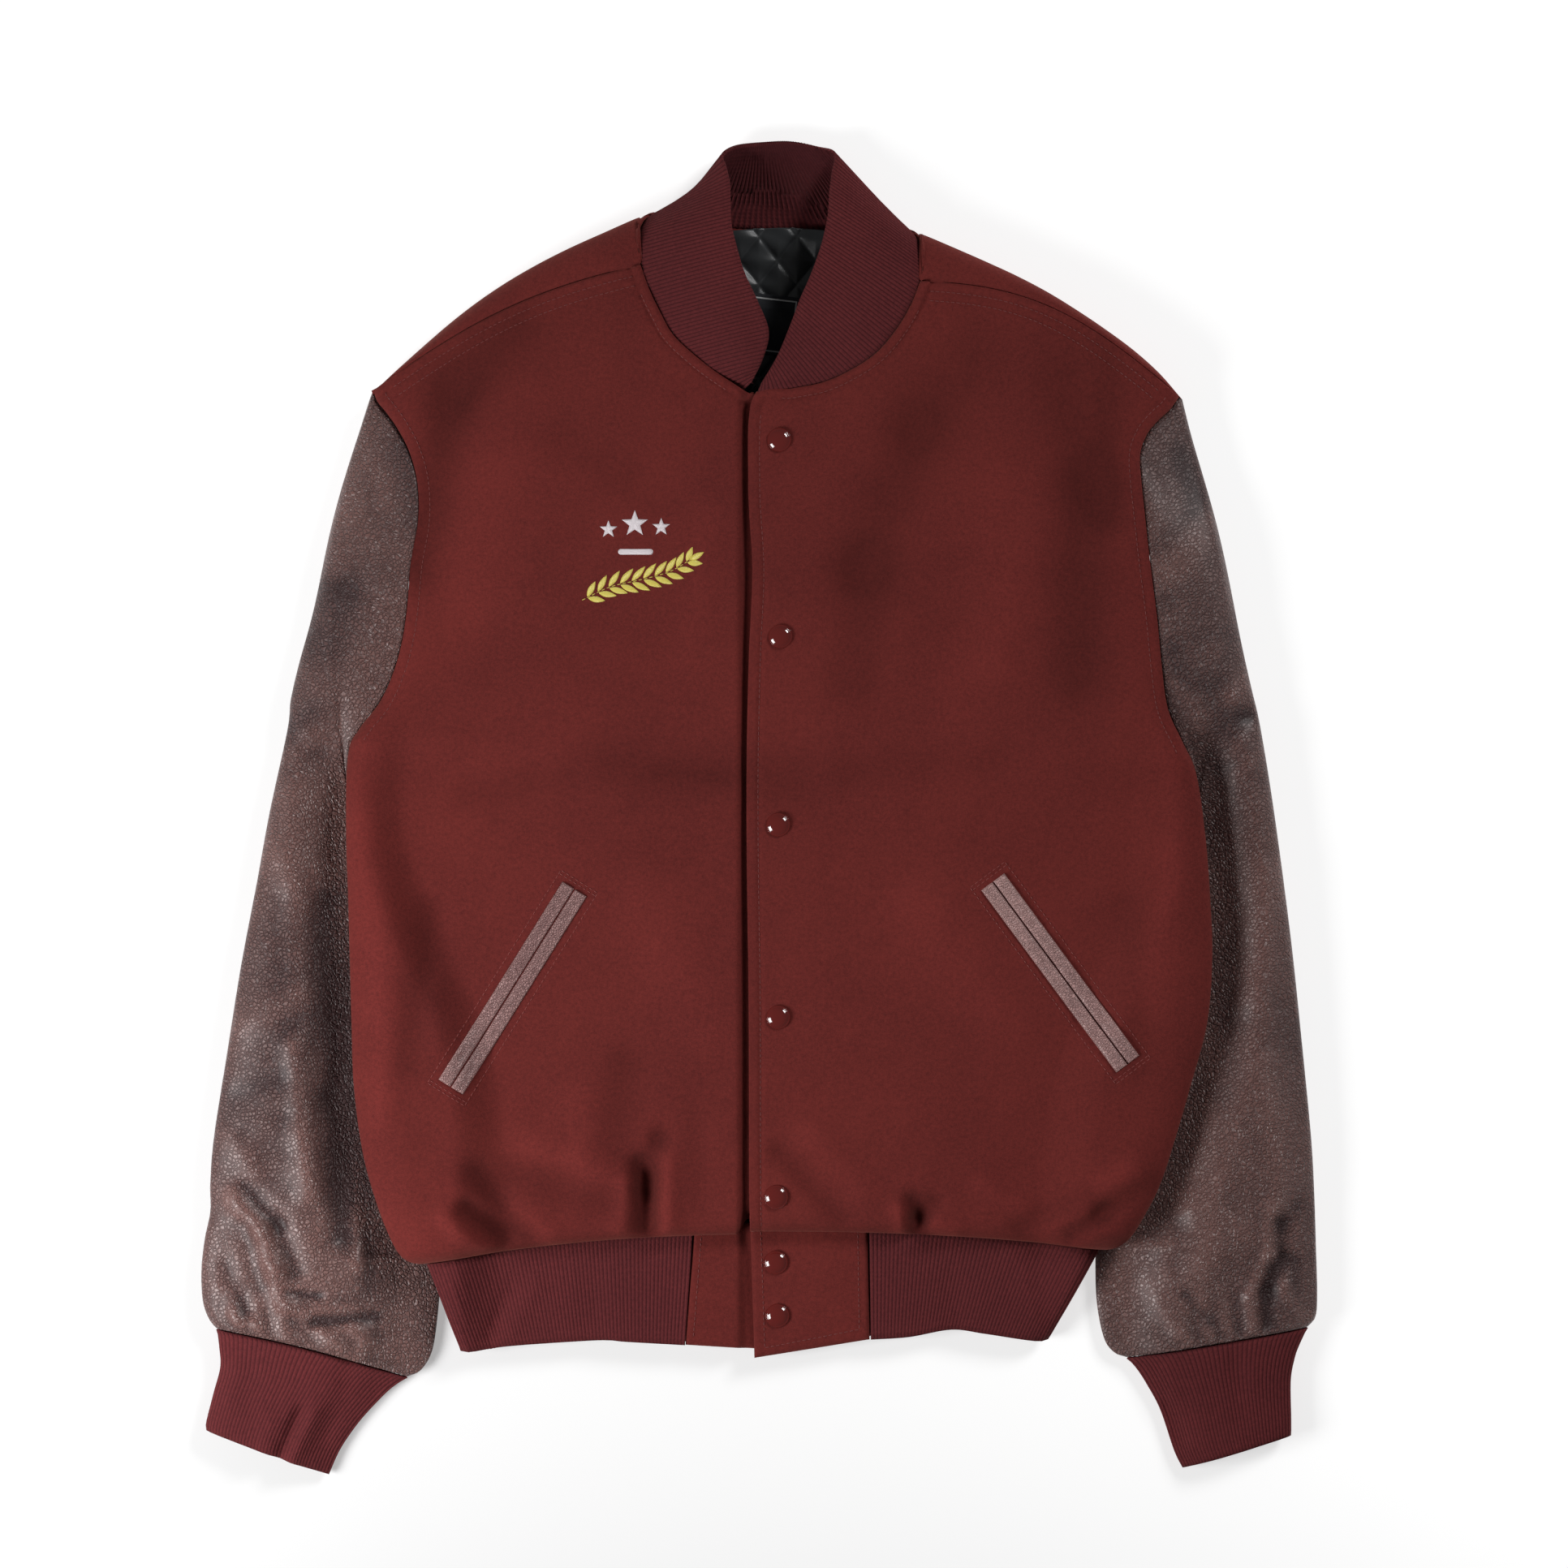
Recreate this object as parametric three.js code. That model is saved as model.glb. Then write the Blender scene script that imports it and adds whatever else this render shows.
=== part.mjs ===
// Varsity jacket laid flat on its back: a wool body with leather sleeves, knitted trim and snaps.
// Units are millimetres. X runs across the chest, Y toward the collar, Z up from the surface.
import * as THREE from 'three';

// Wall thicknesses and seam gaps
const WOOL_WALL = 3.0;
const LEATHER_WALL = 2.0;
const RIB_WALL = 3.0;
const SEAM_GAP = 0.35;
const ARMHOLE_GAP = 1.7;
const SHOULDER_GAP = 0.5;
const HEM_GAP = 0.7;
const CUFF_GAP = 1.1;

// Body
const SIDE_ROLL_FRONT = 30;
const SIDE_ROLL_BACK = 24;
const UNDERLAP_DROP = 4.0;
const UNDERLAP_EDGE_X = -20;
const UNDERLAP_RUN = 9;
const UNDERLAP_HEM_RISE = 9.5;

// Sleeves
const SLEEVE_HEIGHT = 30;
const SLEEVE_END_HEIGHT = 22;
const TUCKED_HEIGHT = 12;
const BODY_LIFT = 13.5;
const SQUEEZE_RUN = 40;
const CUFF_END_HEIGHT = 18;

// Waistband
const BAND_HEIGHT = 16;
const TAB_RIGHT_END = -41;
const TAB_LEFT_END = 69;

// Small parts
const SNAP_RADIUS = 7.5;
const SNAP_HEIGHT = 3.2;
const WELT_WIDTH = 8.6;
const WELT_HEIGHT = 1.8;
const WELT_CLEARANCE = 1.1;
const LABEL_WIDTH = 57;
const LABEL_HEIGHT = 38;
const LABEL_TURN = -0.12;

// Front panels, a row for each section from the hem roll up to the shoulder seam.
// inX, inY: placket and neckline end. inZ, midZ: height there and in mid panel.
// outX, outY, outZ: side seam and armhole end. bow: how far the section curves upward.
// hem: how much of the underlap's hem rise it takes. drop: how much of the underlap's drop.
const FRONT_COLUMNS = ['inX', 'inY', 'inZ', 'midZ', 'outX', 'outY', 'outZ', 'bow', 'hem', 'drop'];
const FRONT_RIGHT = [
  [24.0, -262.6, 16.6, 16.6, -208.5, -285.5, 8.3, 5, 1.0, 1.0],
  [24.0, -266.0, 19.5, 19.5, -213.5, -285.8, 9.3, 5, 1.0, 1.0],
  [24.0, -266.8, 24.0, 24.0, -219.5, -284.3, 11.0, 5, 1.0, 1.0],
  [24.0, -264.0, 29.0, 29.0, -225.0, -280.0, 12.5, 5, 1.0, 1.0],
  [24.0, -257.0, 32.5, 32.0, -231.0, -269.5, 13.5, 4, 0.6, 1.0],
  [24.0, -240.0, 34.0, 33.0, -239.5, -247.5, 14.5, 2, 0.0, 1.0],
  [24.0, -212.0, 34.5, 33.5, -248.0, -216.5, 15.0, 0, 0.0, 1.0],
  [24.0, -175.0, 34.5, 33.0, -253.7, -175.0, 15.0, 0, 0.0, 1.0],
  [24.0, -135.0, 34.5, 33.0, -255.2, -135.0, 15.5, 0, 0.0, 1.0],
  [24.0, -95.0, 34.5, 33.0, -256.2, -95.0, 16.0, 0, 0.0, 1.0],
  [24.0, -55.0, 34.5, 33.0, -257.3, -55.0, 16.0, 0, 0.0, 1.0],
  [24.0, -15.0, 34.5, 33.0, -258.5, -15.0, 16.0, 0, 0.0, 1.0],
  [24.0, 25.0, 34.5, 33.5, -257.6, 33.7, 16.0, 0, 0.0, 1.0],
  [24.0, 68.0, 34.5, 34.0, -250.5, 50.0, 21.0, 0, 0.0, 1.0],
  [24.0, 112.0, 34.5, 34.5, -236.5, 68.5, 27.0, 0, 0.0, 1.0],
  [24.0, 156.0, 34.5, 35.0, -226.5, 92.3, 30.5, 0, 0.0, 1.0],
  [24.0, 205.0, 34.5, 35.0, -221.0, 118.5, 32.0, 0, 0.0, 1.0],
  [4.0, 254.0, 34.5, 35.0, -217.6, 153.5, 32.5, 0, 0.0, 1.0],
  [-7.5, 260.6, 35.5, 35.0, -213.2, 180.0, 32.0, 2, 0.0, 0.7],
  [-26.5, 272.9, 36.0, 35.0, -213.8, 204.0, 30.5, 4, 0.0, 0.0],
  [-40.3, 283.6, 36.0, 34.5, -219.0, 223.5, 28.5, 6, 0.0, 0.0],
  [-53.6, 296.3, 36.0, 34.0, -226.5, 238.0, 26.5, 8, 0.0, 0.0],
  [-61.7, 310.6, 35.5, 33.0, -233.5, 248.0, 24.5, 9, 0.0, 0.0],
  [-68.3, 324.4, 34.5, 31.0, -239.5, 255.5, 22.5, 11, 0.0, 0.0],
  [-74.0, 340.2, 33.0, 29.0, -241.8, 262.2, 20.5, 12, 0.0, 0.0],
];
const FRONT_LEFT = [
  [-5.6, -261.5, 16.6, 16.6, 213.5, -276.5, 8.3, 3, 0, 0],
  [-5.6, -264.8, 19.5, 19.5, 219.5, -276.8, 9.3, 3, 0, 0],
  [-5.6, -265.2, 24.0, 24.0, 226.5, -274.5, 11.0, 3, 0, 0],
  [-5.6, -262.0, 29.0, 29.0, 233.5, -268.5, 12.5, 3, 0, 0],
  [-5.7, -255.0, 32.5, 32.0, 240.5, -257.5, 13.5, 2, 0, 0],
  [-6.0, -238.0, 34.0, 33.0, 251.0, -237.0, 14.5, 1, 0, 0],
  [-6.1, -210.0, 34.5, 33.5, 260.5, -208.5, 15.0, 0, 0, 0],
  [-6.1, -173.0, 34.5, 33.0, 270.8, -173.0, 15.0, 0, 0, 0],
  [-6.2, -133.0, 34.5, 33.0, 280.8, -135.0, 15.5, 0, 0, 0],
  [-6.6, -93.0, 34.5, 33.0, 284.1, -94.0, 16.0, 0, 0, 0],
  [-7.2, -53.0, 34.5, 33.0, 282.6, -53.0, 16.0, 0, 0, 0],
  [-7.6, -13.0, 34.5, 33.0, 279.5, -15.0, 16.0, 0, 0, 0],
  [-7.6, 25.0, 34.5, 33.5, 273.9, 22.9, 16.0, 0, 0, 0],
  [-7.0, 62.0, 34.5, 34.0, 265.5, 42.0, 21.0, 0, 0, 0],
  [-6.0, 100.0, 34.5, 34.5, 256.5, 62.0, 27.0, 0, 0, 0],
  [-4.0, 150.0, 34.5, 35.0, 252.5, 88.0, 30.5, 0, 0, 0],
  [-6.6, 203.0, 34.5, 35.0, 249.5, 118.0, 32.0, 0, 0, 0],
  [-3.5, 257.5, 34.8, 35.0, 244.5, 158.0, 32.5, 2, 0, 0],
  [20.4, 262.6, 35.5, 35.0, 241.7, 184.0, 32.0, 5, 0, 0],
  [40.0, 266.5, 36.0, 35.0, 239.5, 206.0, 30.5, 8, 0, 0],
  [58.0, 274.5, 36.0, 34.5, 239.0, 222.0, 28.5, 11, 0, 0],
  [73.5, 285.0, 36.0, 34.0, 243.5, 234.5, 26.5, 14, 0, 0],
  [85.5, 299.0, 35.5, 33.0, 250.5, 243.0, 24.5, 16, 0, 0],
  [94.8, 314.5, 34.5, 31.0, 258.0, 250.0, 22.5, 18, 0, 0],
  [101.0, 330.0, 33.0, 29.0, 263.8, 258.2, 20.5, 20, 0, 0],
];
const UNDERARM_ROW = 12;
const NECK_ROW_RIGHT = 18;
const NECK_ROW_LEFT = 17;

// Distances of the first columns from each end of a section, in millimetres
const FRONT_INNER_STEPS = [0, 14, 29, 35, 44];
const FRONT_OUTER_STEPS = [0, 4, 10, 18, 30];
const FRONT_MIDDLE_CELLS = 9;

// Back armhole, from the underarm up to the shoulder tip
const BACK_ARMHOLE_RIGHT = [
  [-250.5, 50, 8.5],
  [-238, 71, 3.2],
  [-228, 98, 1],
  [-222, 132, 0.3],
  [-219, 168, 0],
  [-221, 203, 0],
  [-226, 228, 0.2],
  [-233, 246, 0.6],
];
const BACK_ARMHOLE_LEFT = [
  [265.5, 42, 8.5],
  [256.5, 62, 3.2],
  [252, 88, 1],
  [249, 122, 0.3],
  [246.5, 158, 0],
  [246.5, 196, 0],
  [249, 224, 0.2],
  [254, 241, 0.6],
];

// Shoulder fold of the back panel, tip to neck: where it leaves the surface and where it turns over
const SHOULDER_COLUMNS = ['footX', 'footY', 'foldX', 'foldY', 'foldZ'];
const SHOULDER_RIGHT = [
  [-233, 246, -243.8, 259.5, 10],
  [-212, 267, -222.0, 280.5, 12],
  [-183, 294, -191.2, 307.5, 13],
  [-153, 315, -160.7, 329.5, 14],
  [-118, 335, -125.0, 349.4, 15],
  [-78, 354, -77.0, 371.0, 15],
];
const SHOULDER_LEFT = [
  [254, 241, 266.3, 257.0, 10],
  [237, 262, 245.8, 279.5, 12],
  [208, 285, 216.2, 302.4, 13],
  [170, 309, 177.5, 326.9, 14],
  [131, 327, 138.2, 345.8, 15],
  [98, 346, 102.5, 361.0, 15],
];
const SHOULDER_CELLS = 9;

// Neckline of the back panel between the two neck points
const NECK_COLUMNS = ['footX', 'footY', 'foldX', 'foldY', 'foldZ', 'endX', 'endY', 'endZ'];
const BACK_NECK = [
  [-68, 353, -74.5, 371.0, 14.0, -75.5, 356.0, 29.0],
  [-59, 352, -69.5, 373.6, 12.5, -73.3, 367.0, 21.0],
  [-50, 351, -61.0, 370.5, 6.0, -67.0, 373.8, 12.0],
  [-40, 350, -48.0, 364.0, 1.8, -54.0, 370.5, 5.5],
  [-26, 349, -30.0, 360.0, 1.0, -33.0, 367.0, 3.4],
  [13, 347, 12.8, 358.0, 0.8, 12.8, 364.7, 3.0],
  [52, 346, 57.0, 357.0, 1.0, 60.0, 363.6, 3.4],
  [68, 345, 76.0, 357.5, 1.8, 82.0, 362.0, 5.5],
  [78, 345, 89.0, 361.5, 6.0, 95.4, 362.8, 12.0],
  [86, 345, 97.5, 362.8, 12.5, 102.0, 354.5, 21.0],
  [93, 345, 101.2, 360.0, 14.0, 103.8, 342.0, 29.0],
];
const BACK_OUTER_STEPS = [0, 4, 10, 18, 32];
const BACK_HEM_RISE = [17, 19, 20.5, 20, 14, 8, 3];

// Sleeve rails: the outer silhouette and the inner edge that tucks under the body
const SLEEVE_RIGHT = {
  side: -1,
  outer: [
    [-244.2, 258.5], [-252.5, 233.6], [-262.1, 203.5], [-270.3, 171.4], [-276.4, 140.8],
    [-281.0, 119.3], [-288.1, 95.9], [-294.3, 69.4], [-296.3, 50.0], [-307.5, -2.0],
    [-315.7, -46.9], [-325.4, -97.9], [-334.1, -152.0], [-342.7, -206.0], [-345.2, -235.6],
    [-345.2, -253.5], [-348.8, -271.3], [-350.9, -291.2], [-349.9, -310.6], [-345.8, -321.9],
    [-341.5, -327.0],
  ],
  inner: [
    [-258.0, 33.4], [-260.3, 16], [-260.3, -8], [-257, -32], [-247, -58], [-231, -92],
    [-213, -130], [-201, -170], [-196, -215], [-197, -255], [-200, -290], [-202.5, -320],
    [-206, -342], [-213, -354], [-221.3, -358],
  ],
  endBow: 3,
};
const SLEEVE_LEFT = {
  side: 1,
  outer: [
    [266.6, 256.0], [273.0, 230.0], [281.0, 201.5], [289.7, 171.4], [297.3, 135.2],
    [302.4, 108.6], [309.6, 76.5], [315.2, 51.5], [323.9, -2.0], [334.1, -78.5],
    [341.2, -144.8], [347.3, -206.0], [349.4, -241.2], [350.6, -276.4], [351.4, -305.0],
    [350.4, -319.8], [345.5, -326.0],
  ],
  inner: [
    [274.6, 22.6], [277.4, 6], [280.4, -18], [280, -42], [267, -68], [252, -98],
    [235, -132], [222, -170], [215, -212], [213, -250], [212, -285], [213, -312],
    [217.5, -334], [224, -343], [231.5, -345.8],
  ],
  endBow: 0,
};
const SLEEVE_HEAD = 0.15;
const SLEEVE_HEAD_ROWS = 5;
const SLEEVE_ROWS = 17;
const HEAD_PULL = 60;
const UNDERARM_PULL = 0.4;
const SPREAD_RUN = 0.6;

// Cuff rails, sleeve seam to the open end
const CUFF_RIGHT = {
  outer: [[-341, -328], [-339.5, -340], [-339.0, -352], [-343.2, -368], [-347.8, -386], [-348, -391.4]],
  inner: [[-221.3, -358.6], [-231, -365], [-240.7, -374.3], [-252.5, -387.5], [-263.7, -403.8], [-271, -419.8]],
};
const CUFF_LEFT = {
  outer: [[345, -327.4], [340, -338], [337.1, -346.3], [334.8, -360], [335.0, -382], [335.1, -394.7]],
  inner: [[232, -346.4], [238, -353], [244.5, -363], [253.0, -379], [261.6, -404.4], [267, -415.6]],
};
const CUFF_ROWS = 6;

// Waistband bottom edge
const BAND_BOTTOM_RIGHT = [
  [-46.5, -337.6], [-82.6, -335.6], [-101.5, -334.6], [-156, -338.1], [-180.5, -341.6], [-187.5, -341],
];
const BAND_BOTTOM_LEFT = [
  [70.4, -334.1], [94.4, -332.5], [120.9, -327.9], [142.3, -330.5], [173.9, -335.2], [182.3, -334.4],
];
const BAND_CELLS = 4;

// Collar free edge, from the wearer's right front around the back to the left front
const COLLAR_EDGE = [
  [-4.6, 266.2, 36], [2.5, 280.5, 39], [6.4, 297.8, 40.5], [-0.5, 316.7, 41], [-8.7, 334.6, 40.5],
  [-13.6, 350.9, 39], [-17.0, 366.0, 36.5], [-17.6, 380.0, 33], [-18.6, 393.0, 28], [-21.5, 404.5, 22],
  [-23.5, 411.5, 16], [-14.5, 417.6, 10], [4.0, 419.8, 8], [20.4, 420.2, 7.5], [37.0, 416.9, 9],
  [48.0, 412.6, 15], [46.2, 400.0, 22], [44.2, 386.0, 28], [43.2, 372.0, 33], [40.0, 356.0, 37],
  [36.2, 343.7, 39.5], [31.6, 331.5, 40.5], [25.5, 317.7, 41], [20.4, 304.0, 40.5], [11.7, 283.1, 39],
  [1.2, 265.2, 36.5],
];
const COLLAR_CELLS = 5;
const COLLAR_BULGE = 4.5;
const COLLAR_END_WALL = 0.6;
const COLLAR_EVENING = 3;

// Largest folds of the fronts: a soft trough (negative) or ridge between two points
const FOLD_COLUMNS = ['fromX', 'fromY', 'toX', 'toY', 'width', 'height'];
const FRONT_FOLDS = [
  [-150, 300, -190, 265, 26, -3.5],
  [-190, 265, -214, 150, 22, -4.0],
  [-165, 215, -175, 140, 40, 2.5],
  [190, 270, 207, 205, 26, -3.0],
  [207, 205, 202, 80, 26, -3.0],
  [-90, 30, 20, 18, 26, -2.0],
  [-75, -60, -35, -135, 30, 2.0],
  [100, -60, 150, -130, 32, 2.0],
  [-74, -222, -68, -262, 9, -6.0],
  [-176, -228, -146, -268, 14, -4.0],
  [97, -246, 104, -268, 9, -4.5],
  [165, -262, 205, -242, 12, -3.5],
  [-235, -120, -246, -10, 22, 2.0],
  [250, -120, 256, -30, 22, 2.0],
];

// Folds of the sleeves
const SLEEVE_FOLDS = [
  [-222, 224, -214, 180, 16, -3.5],
  [-278, 140, -252, 134, 12, -2.5],
  [-300, 46, -270, 66, 14, -3.0],
  [-322, -135, -286, -118, 16, 2.0],
  [-268, -60, -250, -240, 20, -4.0],
  [-328, -245, -300, -315, 14, 2.5],
  [-292, -320, -252, -312, 10, -2.5],
  [265, 220, 278, 190, 12, -3.0],
  [248, 150, 278, 182, 12, 2.5],
  [280, 75, 288, 55, 12, -3.0],
  [278, 52, 303, 78, 12, 2.5],
  [322, -290, 326, -322, 9, -2.5],
  [337, -285, 336, -318, 8, -2.5],
  [262, -300, 300, -265, 18, 2.5],
];

const WELTS = [
  { name: 'welt_right', from: [-115.3, -50.5], to: [-192.3, -173.9] },
  { name: 'welt_left', from: [146.4, -45.9], to: [230.5, -159.6] },
];
const SNAPS = [
  [12.8, 230.5], [13.6, 107.6], [12.2, -10.2], [12.2, -130.6], [10.9, -243.0], [10.7, -285.4], [11.7, -318.8],
];

// Colours
const WOOL = new THREE.MeshStandardMaterial({ color: 0x6a2422, roughness: 0.95, metalness: 0 });
const LEATHER = new THREE.MeshStandardMaterial({ color: 0x6b514d, roughness: 0.5, metalness: 0 });
const RIB = new THREE.MeshStandardMaterial({ color: 0x581f26, roughness: 0.9, metalness: 0 });
const SATIN = new THREE.MeshStandardMaterial({ color: 0x2e3231, roughness: 0.4, metalness: 0 });
const LABEL_CLOTH = new THREE.MeshStandardMaterial({ color: 0x12161c, roughness: 0.7, metalness: 0 });
const CAP = new THREE.MeshStandardMaterial({ color: 0x5e1712, roughness: 0.2, metalness: 0.1 });

const group = new THREE.Group();
group.name = 'varsity_jacket';

// Small maths
const vec = (x, y, z) => new THREE.Vector3(x, y, z);
const lerp = (a, b, t) => a + (b - a) * t;
const clamp = (t) => Math.min(1, Math.max(0, t));
const smooth = (t) => clamp(t) ** 2 * (3 - 2 * clamp(t));
const roll = (d, radius) => Math.sqrt(1 - (1 - clamp(d / radius)) ** 2);
const named = (columns, rows) => rows.map((row) => Object.fromEntries(columns.map((c, i) => [c, row[i]])));

// A smooth line through [x, y] or [x, y, z] points, read by its fraction of length
function rail(points) {
  const curve = new THREE.CatmullRomCurve3(points.map(([x, y, z = 0]) => vec(x, y, z)), false, 'centripetal');
  return (t) => curve.getPointAt(clamp(t));
}

const folds = { front: named(FOLD_COLUMNS, FRONT_FOLDS), sleeve: named(FOLD_COLUMNS, SLEEVE_FOLDS) };

// Height that a list of folds adds at a place
function foldHeight(folds, x, y) {
  let height = 0;
  for (const f of folds) {
    const dx = f.toX - f.fromX;
    const dy = f.toY - f.fromY;
    const length = Math.hypot(dx, dy);
    const along = ((x - f.fromX) * dx + (y - f.fromY) * dy) / length;
    const across = ((x - f.fromX) * dy - (y - f.fromY) * dx) / length;
    const beyond = Math.max(0, -along, along - length) / f.width;
    height += f.height * Math.exp(-((across / f.width) ** 2) * 2 - beyond ** 2 * 2);
  }
  return height;
}

// Fractions along a section: fixed steps near both ends, even cells between them
function stations(length, startSteps, endSteps, cells) {
  const first = startSteps.at(-1) / length;
  const last = 1 - endSteps.at(-1) / length;
  const even = Array.from({ length: cells - 1 }, (_, i) => lerp(first, last, (i + 1) / cells));
  const start = startSteps.map((d) => d / length);
  const end = [...endSteps].reverse().map((d) => 1 - d / length);
  return [...start, ...even, ...end];
}

// Normals of a grid of points, by the cross product of its two directions
function gridNormals(grid, closed) {
  const rows = grid.length;
  const columns = grid[0].length;
  return grid.map((line, i) => line.map((_, j) => {
    const before = closed ? (j + columns - 1) % columns : Math.max(0, j - 1);
    const after = closed ? (j + 1) % columns : Math.min(columns - 1, j + 1);
    const along = grid[i][after].clone().sub(grid[i][before]);
    const up = grid[Math.min(rows - 1, i + 1)][j].clone().sub(grid[Math.max(0, i - 1)][j]);
    return along.cross(up).normalize();
  }));
}

// Points one wall inside a grid; the cross product of column and row directions points outward
function inside(grid, wall, closed = false) {
  const normals = gridNormals(grid, closed);
  const depth = typeof wall === 'function' ? wall : () => wall;
  return grid.map((line, i) => line.map((p, j) => p.clone().addScaledVector(normals[i][j], -depth(j))));
}

// The same points with their offsets from the outer grid evened out along each row
function evened(outer, inner, passes) {
  let offsets = inner.map((line, i) => line.map((p, j) => p.clone().sub(outer[i][j])));
  for (let pass = 0; pass < passes; pass++) {
    offsets = offsets.map((line) => line.map((o, j) => o.clone()
      .add(line[Math.max(0, j - 1)]).add(line[Math.min(line.length - 1, j + 1)]).divideScalar(3)));
  }
  return outer.map((line, i) => line.map((p, j) => p.clone().add(offsets[i][j])));
}

// Height of one side of a flattened tube at a fraction of its width
function sideHeight(side, fraction) {
  const next = side.findIndex((q) => q.fraction >= fraction);
  if (next <= 0) {
    return side.at(next).z;
  }
  const [a, b] = [side[next - 1], side[next]];
  return lerp(a.z, b.z, (fraction - a.fraction) / Math.max(b.fraction - a.fraction, 1e-6));
}

// Points one wall inside a flattened tube: each ring draws in toward the middle between its two sides
function insideTube(ring, wall) {
  const start = ring[0];
  const reach = ring.map((p) => Math.hypot(p.x - start.x, p.y - start.y));
  const turn = reach.indexOf(Math.max(...reach));
  const chord = vec(ring[turn].x - start.x, ring[turn].y - start.y, 0);
  const along = chord.clone().normalize();
  const placed = ring.map((p) => ({
    z: p.z, fraction: clamp(vec(p.x - start.x, p.y - start.y, 0).dot(chord) / chord.lengthSq()),
  }));
  const front = placed.slice(0, turn + 1);
  const rear = [...placed.slice(turn), placed[0]].reverse();
  return ring.map((p, j) => {
    const { fraction } = placed[j];
    const middle = (sideHeight(front, fraction) + sideHeight(rear, fraction)) / 2;
    const q = p.clone().addScaledVector(along, wall * (1 - 2 * fraction));
    q.z -= Math.max(-wall, Math.min(wall, (p.z - middle) / 2));
    return q;
  });
}

// A closed wall from its outer and inner grids
function wallMesh(name, material, outer, inner, closed = false) {
  const rows = outer.length;
  const columns = outer[0].length;
  const points = [...outer.flat(), ...inner.flat()];
  const index = [];
  const at = (i, j) => i * columns + (j % columns);
  const shift = rows * columns;
  const quad = (a, b, c, d) => index.push(a, b, c, a, c, d);
  const spans = closed ? columns : columns - 1;
  for (let i = 0; i < rows - 1; i++) {
    for (let j = 0; j < spans; j++) {
      const [a, b, c, d] = [at(i, j), at(i, j + 1), at(i + 1, j + 1), at(i + 1, j)];
      const shorter = points[a].distanceTo(points[c]) < points[b].distanceTo(points[d]);
      const [e, f, g, h] = shorter ? [a, b, c, d] : [b, c, d, a];
      quad(e, f, g, h);
      index.push(shift + e, shift + g, shift + f, shift + e, shift + h, shift + g);
    }
  }
  for (let j = 0; j < spans; j++) {
    quad(at(0, j), shift + at(0, j), shift + at(0, j + 1), at(0, j + 1));
    quad(at(rows - 1, j), at(rows - 1, j + 1), shift + at(rows - 1, j + 1), shift + at(rows - 1, j));
  }
  if (!closed) {
    for (let i = 0; i < rows - 1; i++) {
      quad(at(i, 0), at(i + 1, 0), shift + at(i + 1, 0), shift + at(i, 0));
      const end = columns - 1;
      quad(at(i, end), shift + at(i, end), shift + at(i + 1, end), at(i + 1, end));
    }
  }
  const geometry = new THREE.BufferGeometry();
  geometry.setAttribute('position', new THREE.Float32BufferAttribute(points.flatMap((p) => [p.x, p.y, p.z]), 3));
  geometry.setIndex(index);
  geometry.computeVertexNormals();
  const mesh = new THREE.Mesh(geometry, material);
  mesh.name = name;
  group.add(mesh);
  return mesh;
}

// Mirrors the column order so that the outward side stays the same on both halves
const turned = (grid) => grid.map((line) => [...line].reverse());

// Where a rail that runs down the side stands at a given height
function railX(points, y) {
  const lines = points.slice(1).map((p, i) => [points[i], p]);
  const found = lines.find(([a, b]) => y <= a[1] && y > b[1]);
  if (!found) {
    return y > points[0][1] ? points[0][0] : points.at(-1)[0];
  }
  const [a, b] = found;
  return lerp(a[0], b[0], (y - a[1]) / (b[1] - a[1]));
}

// The body rides up over the tucked part of the sleeves
function bodyLift(x, y) {
  const sleeve = x < 0 ? SLEEVE_RIGHT : SLEEVE_LEFT;
  const outside = (x - railX(sleeve.inner, y)) * sleeve.side;
  const aboveUnderarm = 1 - smooth(y / 80);
  return BODY_LIFT * smooth((outside + 40) / 35) * aboveUnderarm;
}

function lifted(grid) {
  return grid.map((line) => line.map((p) => vec(p.x, p.y, p.z + bodyLift(p.x, p.y))));
}

// Front panels
function frontGrid(rows, direction) {
  return named(FRONT_COLUMNS, rows).map((row, k) => {
    const length = Math.hypot(row.outX - row.inX, row.outY - row.inY);
    const rollWidth = k <= UNDERARM_ROW ? SIDE_ROLL_FRONT : 20;
    return stations(length, FRONT_INNER_STEPS, FRONT_OUTER_STEPS, FRONT_MIDDLE_CELLS).map((s) => {
      const x = lerp(row.inX, row.outX, s);
      const under = row.drop * smooth((x * -direction - UNDERLAP_EDGE_X) / UNDERLAP_RUN);
      const y = lerp(row.inY, row.outY, s) + row.bow * Math.sin(Math.PI * s)
        + UNDERLAP_HEM_RISE * row.hem * under;
      const sag = k <= UNDERARM_ROW ? 5 * smooth((s - 0.35) / 0.5) * smooth((k - 3) / 3) : 0;
      const top = lerp(row.inZ, row.midZ, smooth(s / 0.4)) - sag;
      const creased = top + foldHeight(folds.front, x, y) * smooth(k / 4) * smooth((rows.length - 1 - k) / 4);
      const z = lerp(row.outZ, creased, roll(length * (1 - s), rollWidth));
      return vec(x, y, z - UNDERLAP_DROP * under);
    });
  });
}

// Seams are cut square to the way the panels meet: level at the side, upright at the shoulder
function squareSide(outer, inner, edge, beside) {
  for (let k = 0; k <= UNDERARM_ROW; k++) {
    const inward = outer[k].at(beside).clone().sub(outer[k].at(edge)).setZ(0).normalize();
    inner[k][edge < 0 ? inner[k].length - 1 : edge] = outer[k].at(edge).clone().addScaledVector(inward, WOOL_WALL);
  }
}

function squareTop(outer, inner, columns) {
  const top = outer.length - 1;
  columns.forEach((j) => {
    inner[top][j] = outer[top][j].clone().setZ(outer[top][j].z - WOOL_WALL);
  });
}

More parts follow.
